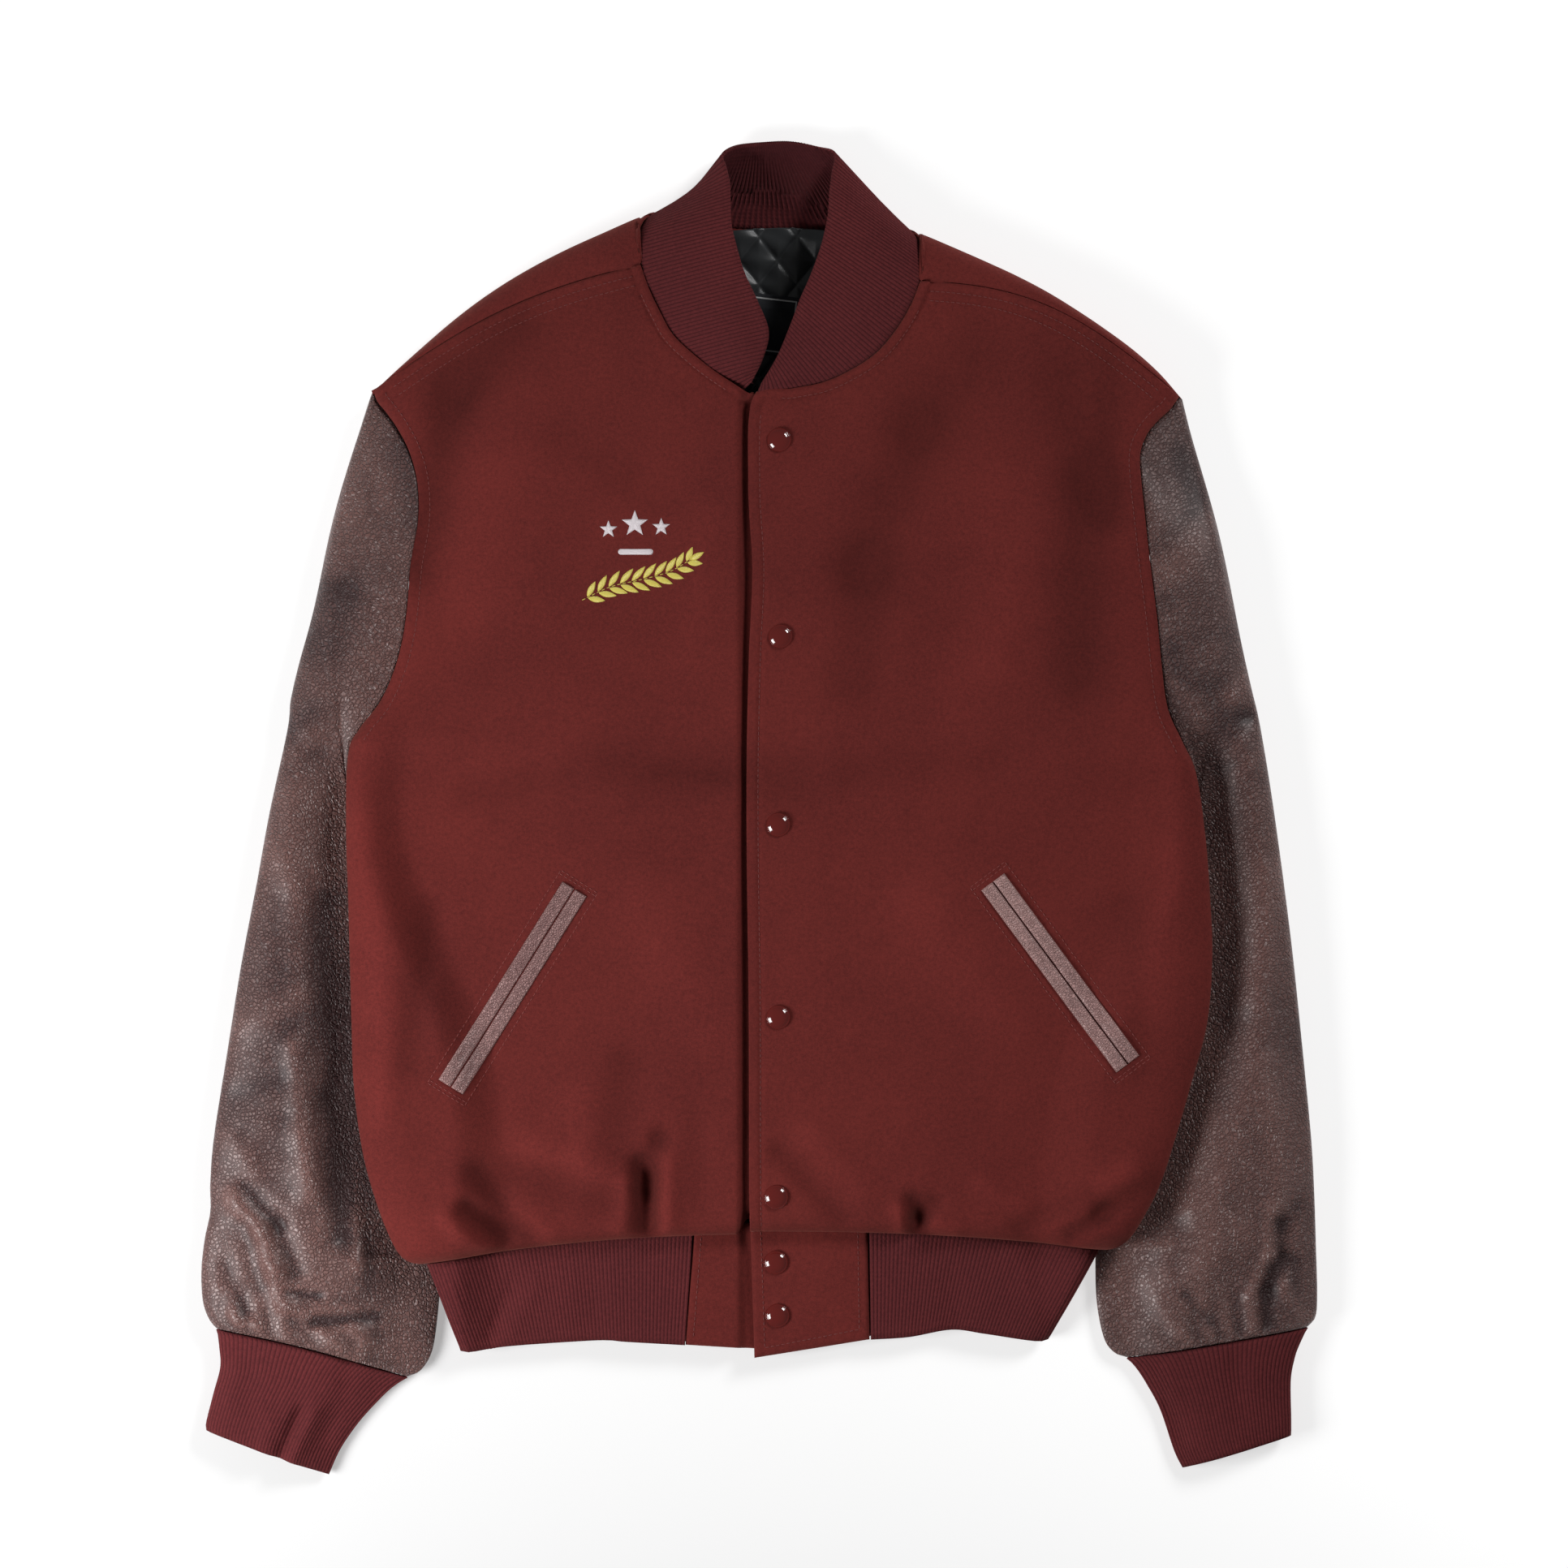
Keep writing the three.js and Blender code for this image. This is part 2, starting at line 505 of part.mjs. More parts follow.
function buildFront(name, rows, direction) {
  const flat = frontGrid(rows, direction);
  const ordered = direction < 0 ? turned(flat) : flat;
  const outer = lifted(ordered);
  const walls = inside(ordered, WOOL_WALL);
  const side = direction < 0 ? 0 : -1;
  squareSide(ordered, walls, side, direction < 0 ? 1 : -2);
  squareTop(ordered, walls, ordered[0].map((_, j) => j));
  const inner = lifted(walls);
  const mesh = wallMesh(name, WOOL, outer, inner);
  const facing = (grid) => (direction < 0 ? turned(grid) : grid);
  return { mesh, outer: facing(outer), inner: facing(inner), flat };
}

const frontRight = buildFront('front_right', FRONT_RIGHT, -1);
const frontLeft = buildFront('front_left', FRONT_LEFT, 1);

// Back panel: flat rows from the hem to the foot of the shoulder roll, then the roll itself
function alongTopRow(front, t) {
  const line = front.flat.at(-1);
  const lengths = [0];
  line.slice(1).forEach((p, i) => lengths.push(lengths[i] + p.distanceTo(line[i])));
  const target = t * lengths.at(-1);
  const i = Math.min(lengths.length - 2, Math.max(0, lengths.findIndex((l) => l >= target) - 1));
  return line[i].clone().lerp(line[i + 1], (target - lengths[i]) / (lengths[i + 1] - lengths[i]));
}

function shoulderColumns(rows, front) {
  const table = named(SHOULDER_COLUMNS, rows);
  const foot = rail(table.map((r) => [r.footX, r.footY]));
  const fold = rail(table.map((r) => [r.foldX, r.foldY, r.foldZ]));
  return Array.from({ length: SHOULDER_CELLS + 1 }, (_, i) => {
    const t = i / SHOULDER_CELLS;
    const end = alongTopRow(front, 1 - t);
    const away = fold(t).sub(end).setZ(0).normalize();
    return { foot: foot(t), fold: fold(t), end: end.addScaledVector(away, SHOULDER_GAP) };
  });
}

function backGrid() {
  const neck = named(NECK_COLUMNS, BACK_NECK).map((r) => ({
    foot: vec(r.footX, r.footY, 0),
    fold: vec(r.foldX, r.foldY, r.foldZ),
    end: vec(r.endX, r.endY, r.endZ),
  }));
  const right = shoulderColumns(SHOULDER_RIGHT, frontRight);
  const left = shoulderColumns(SHOULDER_LEFT, frontLeft).reverse();
  const columns = [...right, ...neck, ...left];
  const cells = columns.length - 1;
  const middle = cells - 2 * (BACK_OUTER_STEPS.length - 1);
  const rightRail = [
    ...named(FRONT_COLUMNS, FRONT_RIGHT).slice(0, UNDERARM_ROW + 1).map((r) => vec(r.outX, r.outY, r.outZ - SEAM_GAP)),
    ...BACK_ARMHOLE_RIGHT.map((p) => vec(...p)),
  ];
  const leftRail = [
    ...named(FRONT_COLUMNS, FRONT_LEFT).slice(0, UNDERARM_ROW + 1).map((r) => vec(r.outX, r.outY, r.outZ - SEAM_GAP)),
    ...BACK_ARMHOLE_LEFT.map((p) => vec(...p)),
  ];
  const last = rightRail.length - 1;
  const span = (k) => rightRail[k].distanceTo(leftRail[k]);
  const fractions = (k) => stations(span(k), BACK_OUTER_STEPS, BACK_OUTER_STEPS, middle);
  const topFractions = fractions(last);
  const flat = rightRail.map((start, k) => {
    const morph = smooth((k - 4) / (last - 4));
    const hemRise = BACK_HEM_RISE[k] ?? 0;
    return fractions(k).map((s, i) => {
      const p = start.clone().lerp(leftRail[k], s);
      const topStraight = rightRail[last].clone().lerp(leftRail[last], topFractions[i]);
      p.x += (columns[i].foot.x - topStraight.x) * morph;
      p.y += (columns[i].foot.y - topStraight.y) * morph + hemRise * Math.sin(Math.PI * s) ** 0.8;
      const edge = Math.min(s, 1 - s) * span(k);
      const edgeZ = s < 0.5 ? start.z : leftRail[k].z;
      p.z = edgeZ * (1 - roll(edge, SIDE_ROLL_BACK));
      return p;
    });
  });
  const turns = [1 / 3, 2 / 3, 1].map((f) => f * Math.PI / 2);
  const under = turns.map((a) => columns.map(({ foot, fold }) => vec(
    lerp(foot.x, fold.x, Math.sin(a)),
    lerp(foot.y, fold.y, Math.sin(a)),
    fold.z * (1 - Math.cos(a)),
  )));
  const over = [0.5, 1].map((f) => f * Math.PI / 2).map((a) => columns.map(({ fold, end }) => vec(
    lerp(end.x, fold.x, Math.cos(a)),
    lerp(end.y, fold.y, Math.cos(a)),
    lerp(fold.z, end.z, Math.sin(a)),
  )));
  return [...flat, ...under, ...over];
}

const backFlat = backGrid();
const back = { outer: lifted(backFlat) };

function buildBack() {
  const ordered = turned(backFlat);
  const walls = inside(ordered, WOOL_WALL);
  const shoulder = Array.from({ length: SHOULDER_CELLS + 1 }, (_, j) => j);
  squareSide(ordered, walls, 0, 1);
  squareSide(ordered, walls, -1, -2);
  squareTop(ordered, walls, [...shoulder, ...shoulder.map((j) => ordered[0].length - 1 - j)]);
  back.inner = turned(lifted(walls));
  return wallMesh('back', WOOL, turned(back.outer), turned(back.inner));
}
const backMesh = buildBack();

// Sleeves
// Ends of the panels around an armhole: underarm, front edge up, over the tip, back edge down
function armhole(front, backColumn) {
  const frontRows = front.outer.slice(UNDERARM_ROW).map((_, k) => UNDERARM_ROW + k);
  const backRows = back.outer.map((_, k) => k).filter((k) => k > UNDERARM_ROW && k < back.outer.length - 1);
  const beside = backColumn === 0 ? 1 : backColumn - 1;
  const points = frontRows.map((k) => ({
    outer: front.outer[k].at(-1), inner: front.inner[k].at(-1), next: front.outer[k].at(-2),
  }));
  backRows.reverse().forEach((k) => points.push({
    outer: back.outer[k].at(backColumn), inner: back.inner[k].at(backColumn), next: back.outer[k].at(beside),
  }));
  return points;
}

// Directions that lead away from the panels, square to the seam
function armholeAway(edge) {
  const count = edge.length;
  return edge.map((e, i) => {
    const tangent = edge[(i + 1) % count].outer.clone().sub(edge[(i + count - 1) % count].outer).normalize();
    const away = e.outer.clone().sub(e.next);
    return away.addScaledVector(tangent, -away.dot(tangent)).normalize();
  });
}

function armholeRing(edge, wall) {
  const away = armholeAway(edge);
  return edge.map((e, i) => e.outer.clone().lerp(e.inner, wall / WOOL_WALL).addScaledVector(away[i], ARMHOLE_GAP));
}

// Room for the sleeve to puff up: none under the body's side, full outside it and above the underarm
function puffRoom(rows, side, x, y) {
  const sideRows = rows.slice(2, UNDERARM_ROW + 1).map((r) => [r[4], r[5]]).reverse();
  const [armX, armY] = sideRows[0];
  const beside = (x - railX(sideRows, y)) * side;
  const distance = y > armY ? Math.hypot(x - armX, y - armY) : beside;
  return lerp(smooth(distance / SQUEEZE_RUN), 1, smooth((y - armY) / 25));
}

function sleeveGrid(plan, edge, rows) {
  const ring = armholeRing(edge, 0);
  const count = ring.length;
  const frontCount = FRONT_RIGHT.length - UNDERARM_ROW;
  const start = vec(...plan.inner[0], 0);
  const end = vec(...plan.outer[0], 0);
  const chord = end.clone().sub(start);
  const outerRail = rail(plan.outer);
  const innerRail = rail(plan.inner);
  const topCount = frontCount + 2;
  const fraction0 = ring.map((p) => clamp(vec(p.x, p.y, 0).sub(start).dot(chord) / chord.lengthSq()));
  const fractionEven = ring.map((_, j) => {
    const turn = j < topCount ? j / topCount : (count - j) / (count - topCount);
    return (1 - Math.cos(Math.PI * turn)) / 2;
  });
  const tangents = armholeAway(edge);
  const railTangent = outerRail(0.02).sub(outerRail(0)).multiplyScalar(SLEEVE_HEAD / 0.02);
  const across = (t, j) => {
    const s = lerp(fraction0[j], fractionEven[j], smooth((t - SLEEVE_HEAD) / SPREAD_RUN));
    const p = innerRail(t).lerp(outerRail(t), s);
    p.y += plan.endBow * Math.sin(Math.PI * s) * smooth((t - 0.8) / 0.2);
    return { p, s };
  };
  // The head leaves the armhole square to its seam and turns into the straight part
  const head = (t, j) => {
    const u = t / SLEEVE_HEAD;
    const end = across(SLEEVE_HEAD, j);
    const endTangent = across(SLEEVE_HEAD + 0.01, j).p.sub(end.p).multiplyScalar(SLEEVE_HEAD / 0.01);
    const pull = HEAD_PULL * lerp(UNDERARM_PULL, 1, smooth(fraction0[j] / 0.08));
    const startTangent = tangents[j].clone().setZ(0).multiplyScalar(pull)
      .lerp(railTangent, smooth((fraction0[j] - 0.6) / 0.35));
    const p = ring[j].clone().setZ(0).multiplyScalar(1 - u * u * (3 - 2 * u))
      .addScaledVector(startTangent, u * (1 - u) ** 2)
      .addScaledVector(end.p, u * u * (3 - 2 * u))
      .addScaledVector(endTangent, u * u * (u - 1));
    return { p, s: end.s };
  };
  const headSteps = Array.from({ length: SLEEVE_HEAD_ROWS }, (_, k) => (SLEEVE_HEAD * (k + 1)) / SLEEVE_HEAD_ROWS);
  const steps = Array.from({ length: SLEEVE_ROWS }, (_, k) => lerp(SLEEVE_HEAD, 1, (k + 1) / SLEEVE_ROWS));
  const lines = [...headSteps, ...steps].map((t) => ring.map((p0, j) => {
    const { p, s } = t < SLEEVE_HEAD ? head(t, j) : across(t, j);
    const full = lerp(SLEEVE_HEIGHT, SLEEVE_END_HEIGHT, smooth((t - 0.6) / 0.4));
    const room = puffRoom(rows, plan.side, p.x, p.y);
    const puff = (1 - Math.abs(2 * s - 1) ** 2.4) ** (1 / 2.2);
    const crease = foldHeight(folds.sleeve, p.x, p.y) * room * puff * smooth((1 - t) / 0.1);
    const height = lerp(TUCKED_HEIGHT, full, room);
    const tube = j < topCount ? height * (0.5 + 0.5 * puff) + crease : height * (0.5 - 0.5 * puff);
    p.z = lerp(p0.z, tube, smooth(t / SLEEVE_HEAD));
    return p;
  }));
  return [ring, ...lines];
}

function buildSleeve(name, plan, front, backColumn, rows) {
  const edge = armhole(front, backColumn);
  const outer = sleeveGrid(plan, edge, rows);
  const facing = (grid) => (plan.side < 0 ? grid : turned(grid));
  const inner = outer.map((ring) => insideTube(ring, LEATHER_WALL));
  const seam = armholeRing(edge, LEATHER_WALL);
  for (let k = 0; k < SLEEVE_HEAD_ROWS; k++) {
    inner[k] = outer[k].map((p, j) => {
      const atSeam = seam[j].clone().sub(outer[0][j]);
      const below = inner[SLEEVE_HEAD_ROWS][j].clone().sub(outer[SLEEVE_HEAD_ROWS][j]);
      return atSeam.lerp(below, k / SLEEVE_HEAD_ROWS).add(p);
    });
  }
  wallMesh(name, LEATHER, facing(outer), facing(inner), true);
  return outer.at(-1);
}

const wristRight = buildSleeve('sleeve_right', SLEEVE_RIGHT, frontRight, 0, FRONT_RIGHT);
const wristLeft = buildSleeve('sleeve_left', SLEEVE_LEFT, frontLeft, -1, FRONT_LEFT);

// Cuffs
function buildCuff(name, plan, rails, wrist) {
  const outerRail = rail(rails.outer);
  const innerRail = rail(rails.inner);
  const start = vec(wrist[0].x, wrist[0].y, 0);
  const far = wrist.reduce((a, b) => (a.distanceTo(start) > b.distanceTo(start) ? a : b));
  const chord = vec(far.x - start.x, far.y - start.y, 0);
  const fractions = wrist.map((p) => clamp(vec(p.x, p.y, 0).sub(start).dot(chord) / chord.lengthSq()));
  const down = vec(-chord.y, chord.x, 0).normalize().multiplyScalar(-plan.side * CUFF_GAP);
  const grid = [wrist.map((p) => p.clone().add(down))];
  for (let k = 1; k <= CUFF_ROWS; k++) {
    const t = k / CUFF_ROWS;
    grid.push(wrist.map((p0, j) => {
      const straight = start.clone().addScaledVector(chord, fractions[j]);
      const p = innerRail(t).lerp(outerRail(t), fractions[j]);
      const keep = (1 - t) ** 2;
      p.x += (p0.x - straight.x) * keep;
      p.y += (p0.y - straight.y) * keep;
      p.z = p0.z * lerp(1, CUFF_END_HEIGHT / SLEEVE_END_HEIGHT, smooth(t * 1.5));
      return p;
    }));
  }
  const facing = (g) => (plan.side < 0 ? g : turned(g));
  wallMesh(name, RIB, facing(grid), facing(grid.map((ring) => insideTube(ring, RIB_WALL))), true);
}

buildCuff('cuff_right', SLEEVE_RIGHT, CUFF_RIGHT, wristRight);
buildCuff('cuff_left', SLEEVE_LEFT, CUFF_LEFT, wristLeft);

// Waistband: the knit from tab seam to tab seam around the back, and the two wool tabs
function bandPoint(top, rail0, fraction, flatBack) {
  const bottom = flatBack ?? rail0(fraction);
  return { top, bottom };
}

function buildBand() {
  const rightTop = frontRight.flat[0].filter((p) => p.x < TAB_RIGHT_END - 6);
  const leftTop = frontLeft.flat[0].filter((p) => p.x > TAB_LEFT_END + 6);
  const rightEnd = vec(TAB_RIGHT_END - SEAM_GAP, rightTop[0].y + 1.2, frontRight.flat[0][6].z);
  const leftEnd = vec(TAB_LEFT_END + SEAM_GAP, leftTop[0].y + 0.6, frontLeft.flat[0][6].z);
  const scale = BAND_HEIGHT / frontRight.flat[0][6].z;
  const frontZ = (p) => vec(p.x, p.y - HEM_GAP, p.z * scale);
  const backTop = backFlat[0].slice(1, -1).map((p) => vec(p.x, p.y - HEM_GAP, p.z));
  const railRight = rail(BAND_BOTTOM_RIGHT);
  const railLeft = rail(BAND_BOTTOM_LEFT);
  const columns = [];
  const rightRow = [rightEnd, ...rightTop].map(frontZ);
  const rightSpan = rightRow[0].x - rightRow.at(-1).x;
  rightRow.forEach((p) => columns.push(bandPoint(p, railRight, (rightRow[0].x - p.x) / rightSpan)));
  const leftRow = [leftEnd, ...leftTop].map(frontZ);
  const leftSpan = leftRow.at(-1).x - leftRow[0].x;
  const rightCorner = railRight(1);
  const leftCorner = railLeft(1);
  const backSpan = leftRow.at(-1).x - rightRow.at(-1).x;
  backTop.forEach((p) => {
    const s = (p.x - rightRow.at(-1).x) / backSpan;
    const bottom = rightCorner.clone().lerp(leftCorner, s);
    bottom.y += 4 * Math.sin(Math.PI * s);
    columns.push(bandPoint(p, null, s, bottom));
  });
  [...leftRow].reverse().forEach((p) => {
    columns.push(bandPoint(p, railLeft, (p.x - leftRow[0].x) / leftSpan));
  });
  const grid = Array.from({ length: BAND_CELLS + 1 }, (_, k) => columns.map(({ top, bottom }) => {
    const t = k / BAND_CELLS;
    return vec(lerp(top.x, bottom.x, t), lerp(top.y, bottom.y, t), top.z * lerp(1, 0.94, t));
  }));
  wallMesh('hem_rib', RIB, lifted(grid), lifted(inside(grid, RIB_WALL)));
}
buildBand();

function buildTab(name, corners, zOf) {
  const rows = 5;
  const cells = 6;
  const grid = Array.from({ length: rows + 1 }, (_, i) => Array.from({ length: cells + 1 }, (_, j) => {
    const left = vec(...corners.topLeft, 0).lerp(vec(...corners.bottomLeft, 0), 1 - i / rows);
    const right = vec(...corners.topRight, 0).lerp(vec(...corners.bottomRight, 0), 1 - i / rows);
    const p = left.lerp(right, j / cells);
    p.z = zOf(p.x, p.y);
    return p;
  }));
  return wallMesh(name, WOOL, grid, inside(grid, WOOL_WALL));
}

const underTab = (x) => UNDERLAP_DROP * smooth((x - UNDERLAP_EDGE_X) / UNDERLAP_RUN);
buildTab('hem_tab_right', {
  topLeft: [TAB_RIGHT_END + SEAM_GAP, -262.6],
  topRight: [22, -263.2],
  bottomLeft: [-46.2, -337.4],
  bottomRight: [22, -341.5],
}, (x) => BAND_HEIGHT - underTab(x));
const tabLeft = buildTab('hem_tab_left', {
  topLeft: [-5.4, -262.2],
  topRight: [TAB_LEFT_END - SEAM_GAP, -264.4],
  bottomLeft: [-2.8, -345.6],
  bottomRight: [69.6, -334.0],
}, (x, y) => BAND_HEIGHT + 0.6 * smooth((-y - 264) / 20) * smooth((60 - x) / 40));

// Collar, joined on around the whole neckline
function neckline() {
  const frontEdge = (front, k) => ({ outer: front.outer[k][0], inner: front.inner[k][0], next: front.outer[k][1] });
  const points = [];
  for (let k = NECK_ROW_RIGHT; k < FRONT_RIGHT.length; k++) {
    points.push(frontEdge(frontRight, k));
  }
  const top = back.outer.length - 1;
  const firstNeck = SHOULDER_CELLS + 1;
  for (let j = firstNeck; j < firstNeck + BACK_NECK.length; j++) {
    points.push({ outer: back.outer[top][j], inner: back.inner[top][j], next: back.outer[top - 1][j] });
  }
  for (let k = FRONT_LEFT.length - 1; k >= NECK_ROW_LEFT; k--) {
    points.push(frontEdge(frontLeft, k));
  }
  return points;
}

function collarSeam(edge, wall) {
  return edge.map((e, i) => {
    const tangent = edge[Math.min(edge.length - 1, i + 1)].outer.clone().sub(edge[Math.max(0, i - 1)].outer);
    tangent.normalize();
    const away = e.outer.clone().sub(e.next);
    away.addScaledVector(tangent, -away.dot(tangent)).normalize();
    return e.outer.clone().lerp(e.inner, wall(i) / WOOL_WALL).addScaledVector(away, SEAM_GAP);
  });
}

function buildCollar() {
  const edge = neckline();
  const seam = collarSeam(edge, () => 0);
  const free = rail(COLLAR_EDGE);
  const lengths = [0];
  seam.slice(1).forEach((p, i) => lengths.push(lengths[i] + p.distanceTo(seam[i])));
  const grid = Array.from({ length: COLLAR_CELLS + 1 }, (_, k) => seam.map((p, i) => {
    const t = k / COLLAR_CELLS;
    const end = free(i / (seam.length - 1));
    const bulge = COLLAR_BULGE * Math.sin(Math.PI * t) * smooth((p.z - 12) / 18) * smooth(p.distanceTo(end) / 30);
    const q = p.clone().lerp(end, t);
    q.z += bulge;
    return q;
  }));
  const last = seam.length - 1;
  const wall = (j) => RIB_WALL * lerp(COLLAR_END_WALL, 1, smooth(Math.min(j, last - j) / 3));
  const inner = evened(grid, turned(inside(turned(grid), wall)), COLLAR_EVENING);
  inner[0] = collarSeam(edge, wall);
  wallMesh('collar', RIB, turned(grid), turned(inner));
}
buildCollar();

// Places things on a surface seen from above
const caster = new THREE.Raycaster();
function heightOn(mesh, x, y) {
  mesh.updateMatrixWorld(true);
  caster.set(vec(x, y, 200), vec(0, 0, -1));
  const hits = caster.intersectObject(mesh, false);
  return hits[0].point.z;
}

// Pocket welts: two padded leather strips beside each slanted slit
function buildWelts(pocket, panel) {
  const from = vec(...pocket.from, 0);
  const to = vec(...pocket.to, 0);
  const along = to.clone().sub(from).normalize();
  const across = vec(-along.y, along.x, 0);
  const cells = 12;
  const widths = [0, 0.12, 0.5, 0.88, 1];
  const rises = [0.55, 0.9, 1, 0.9, 0.55];
  for (const side of [-1, 1]) {
    const strip = (high) => Array.from({ length: cells + 1 }, (_, i) => widths.map((w, j) => {
      const offset = side * (0.35 + WELT_WIDTH * w);
      const p = from.clone().lerp(to, i / cells).addScaledVector(across, offset);
      p.z = heightOn(panel, p.x, p.y) + WELT_CLEARANCE + (high ? WELT_HEIGHT * rises[j] : 0);
      return p;
    }));
    const facing = (grid) => (side > 0 ? turned(grid) : grid);
    const suffix = across.x * side * Math.sign(pocket.from[0]) > 0 ? 'side' : 'centre';
    wallMesh(`${pocket.name}_${suffix}`, LEATHER, facing(strip(true)), facing(strip(false)));
  }
}
buildWelts(WELTS[0], frontRight.mesh);
buildWelts(WELTS[1], frontLeft.mesh);

// Snaps: domed caps on the placket and the waistband tab
SNAPS.forEach(([x, y], i) => {
  const panel = y > -262 ? frontLeft.mesh : tabLeft;
  const around = [0, 1, 2, 3, 4, 5, 6, 7].map((k) => (k * Math.PI) / 4);
  const seats = around.map((a) => heightOn(panel, x + SNAP_RADIUS * Math.cos(a), y + SNAP_RADIUS * Math.sin(a)));
  const seat = Math.max(heightOn(panel, x, y), ...seats) + SEAM_GAP;
  const profile = [
    [0, 0], [SNAP_RADIUS, 0], [SNAP_RADIUS, 0.9], [SNAP_RADIUS * 0.93, 1.5],
    [SNAP_RADIUS * 0.62, SNAP_HEIGHT - 0.6], [0, SNAP_HEIGHT],
  ];
  const geometry = new THREE.LatheGeometry(profile.map(([r, z]) => new THREE.Vector2(r, z)), 20);
  const mesh = new THREE.Mesh(geometry, CAP);
  mesh.rotation.x = Math.PI / 2;
  mesh.position.set(x, y, seat);
  mesh.name = `snap_${i + 1}`;
  group.add(mesh);
});

// Lining yoke inside the neck, and the label sewn on it
function plate(name, material, columns, rows, pointAt, under, thickness, clearance) {
  const layer = (extra) => Array.from({ length: rows + 1 }, (_, i) => Array.from({ length: columns + 1 }, (_, j) => {
    const p = pointAt(j / columns, i / rows);
    p.z = heightOn(under, p.x, p.y) + clearance + extra;
    return p;
  }));
  return wallMesh(name, material, layer(thickness), layer(0));
}
const lining = plate('lining', SATIN, 10, 8, (s, t) => {
  const low = vec(lerp(-62, 88, s), 232, 0);
  const high = vec(lerp(-50, 78, s), 350 + 10.5 * Math.sin(Math.PI * s) ** 0.5, 0);
  return low.lerp(high, t);
}, backMesh, 2, 0.4);
const labelCentre = [-4, 306];
plate('label', LABEL_CLOTH, 4, 3, (s, t) => {
  const x = (s - 0.5) * LABEL_WIDTH;
  const y = (t - 0.5) * LABEL_HEIGHT;
  const turnedX = x * Math.cos(LABEL_TURN) - y * Math.sin(LABEL_TURN);
  const turnedY = x * Math.sin(LABEL_TURN) + y * Math.cos(LABEL_TURN);
  return vec(labelCentre[0] + turnedX, labelCentre[1] + turnedY, 0);
}, lining, 0.8, 0.4);

// The origin is the middle of the bounding box, on the surface
const box = new THREE.Box3().setFromObject(group);
const middle = box.getCenter(vec(0, 0, 0));
group.children.forEach((mesh) => mesh.position.sub(vec(middle.x, middle.y, box.min.z)));

export default group;
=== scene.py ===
# %% [markdown]
# This lesson dresses a varsity jacket that lies flat on its back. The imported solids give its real
# size and place, and each cloth piece is rebuilt here as a fine sheet on the same form.
# %% Load the frame
import math
import bmesh
import bpy
import numpy as np
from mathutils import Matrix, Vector
from mathutils.bvhtree import BVHTree


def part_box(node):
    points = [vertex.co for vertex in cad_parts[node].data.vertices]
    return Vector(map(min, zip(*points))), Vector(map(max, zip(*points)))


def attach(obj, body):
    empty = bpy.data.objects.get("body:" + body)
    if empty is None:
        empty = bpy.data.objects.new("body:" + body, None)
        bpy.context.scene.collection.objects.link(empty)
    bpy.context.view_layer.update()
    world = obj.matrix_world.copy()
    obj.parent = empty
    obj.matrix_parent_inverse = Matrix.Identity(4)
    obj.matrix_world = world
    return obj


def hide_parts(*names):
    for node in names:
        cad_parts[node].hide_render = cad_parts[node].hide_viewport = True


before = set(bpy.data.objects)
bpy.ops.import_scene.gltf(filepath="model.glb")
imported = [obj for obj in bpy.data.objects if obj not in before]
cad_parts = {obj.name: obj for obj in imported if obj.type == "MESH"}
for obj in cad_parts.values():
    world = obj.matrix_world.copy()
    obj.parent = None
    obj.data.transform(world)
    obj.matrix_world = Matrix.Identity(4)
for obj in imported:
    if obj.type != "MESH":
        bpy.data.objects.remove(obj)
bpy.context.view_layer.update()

# %% [markdown]
# Sizes are written in millimetres, as a pattern cutter writes them, and turned to metres at the end.
# The sheets are thinner than the solids' walls, because the solids stand in for the cloth rigidly.
# %% Driving sizes
MM = 0.001
WOOL_THICK = 1.8
LEATHER_THICK = 1.4
RIB_THICK = 2.2
SEAM_GAP = 0.35
ARMHOLE_GAP = 0.3
SHOULDER_GAP = 0.5
HEM_GAP = 0.7
CUFF_GAP = 1.1
SIDE_ROLL_FRONT = 30
SIDE_ROLL_BACK = 24
UNDERLAP_DROP = 5.5
UNDERLAP_EDGE_X = -14
UNDERLAP_RUN = 7
UNDERLAP_HEM_RISE = 9.5
SLEEVE_HEIGHT = 30
SLEEVE_END_HEIGHT = 22
TUCKED_HEIGHT = 12
BODY_LIFT = 13.5
SQUEEZE_RUN = 40
CUFF_END_HEIGHT = 18
BAND_HEIGHT = 16
TAB_RIGHT_END = -41
TAB_LEFT_END = 69
SNAP_RADIUS = 7.5
WELT_WIDTH = 8.6
RIB_PITCH = 2.4
print("cloth in mm:", WOOL_THICK, "wool,", LEATHER_THICK, "leather,", RIB_THICK, "rib")

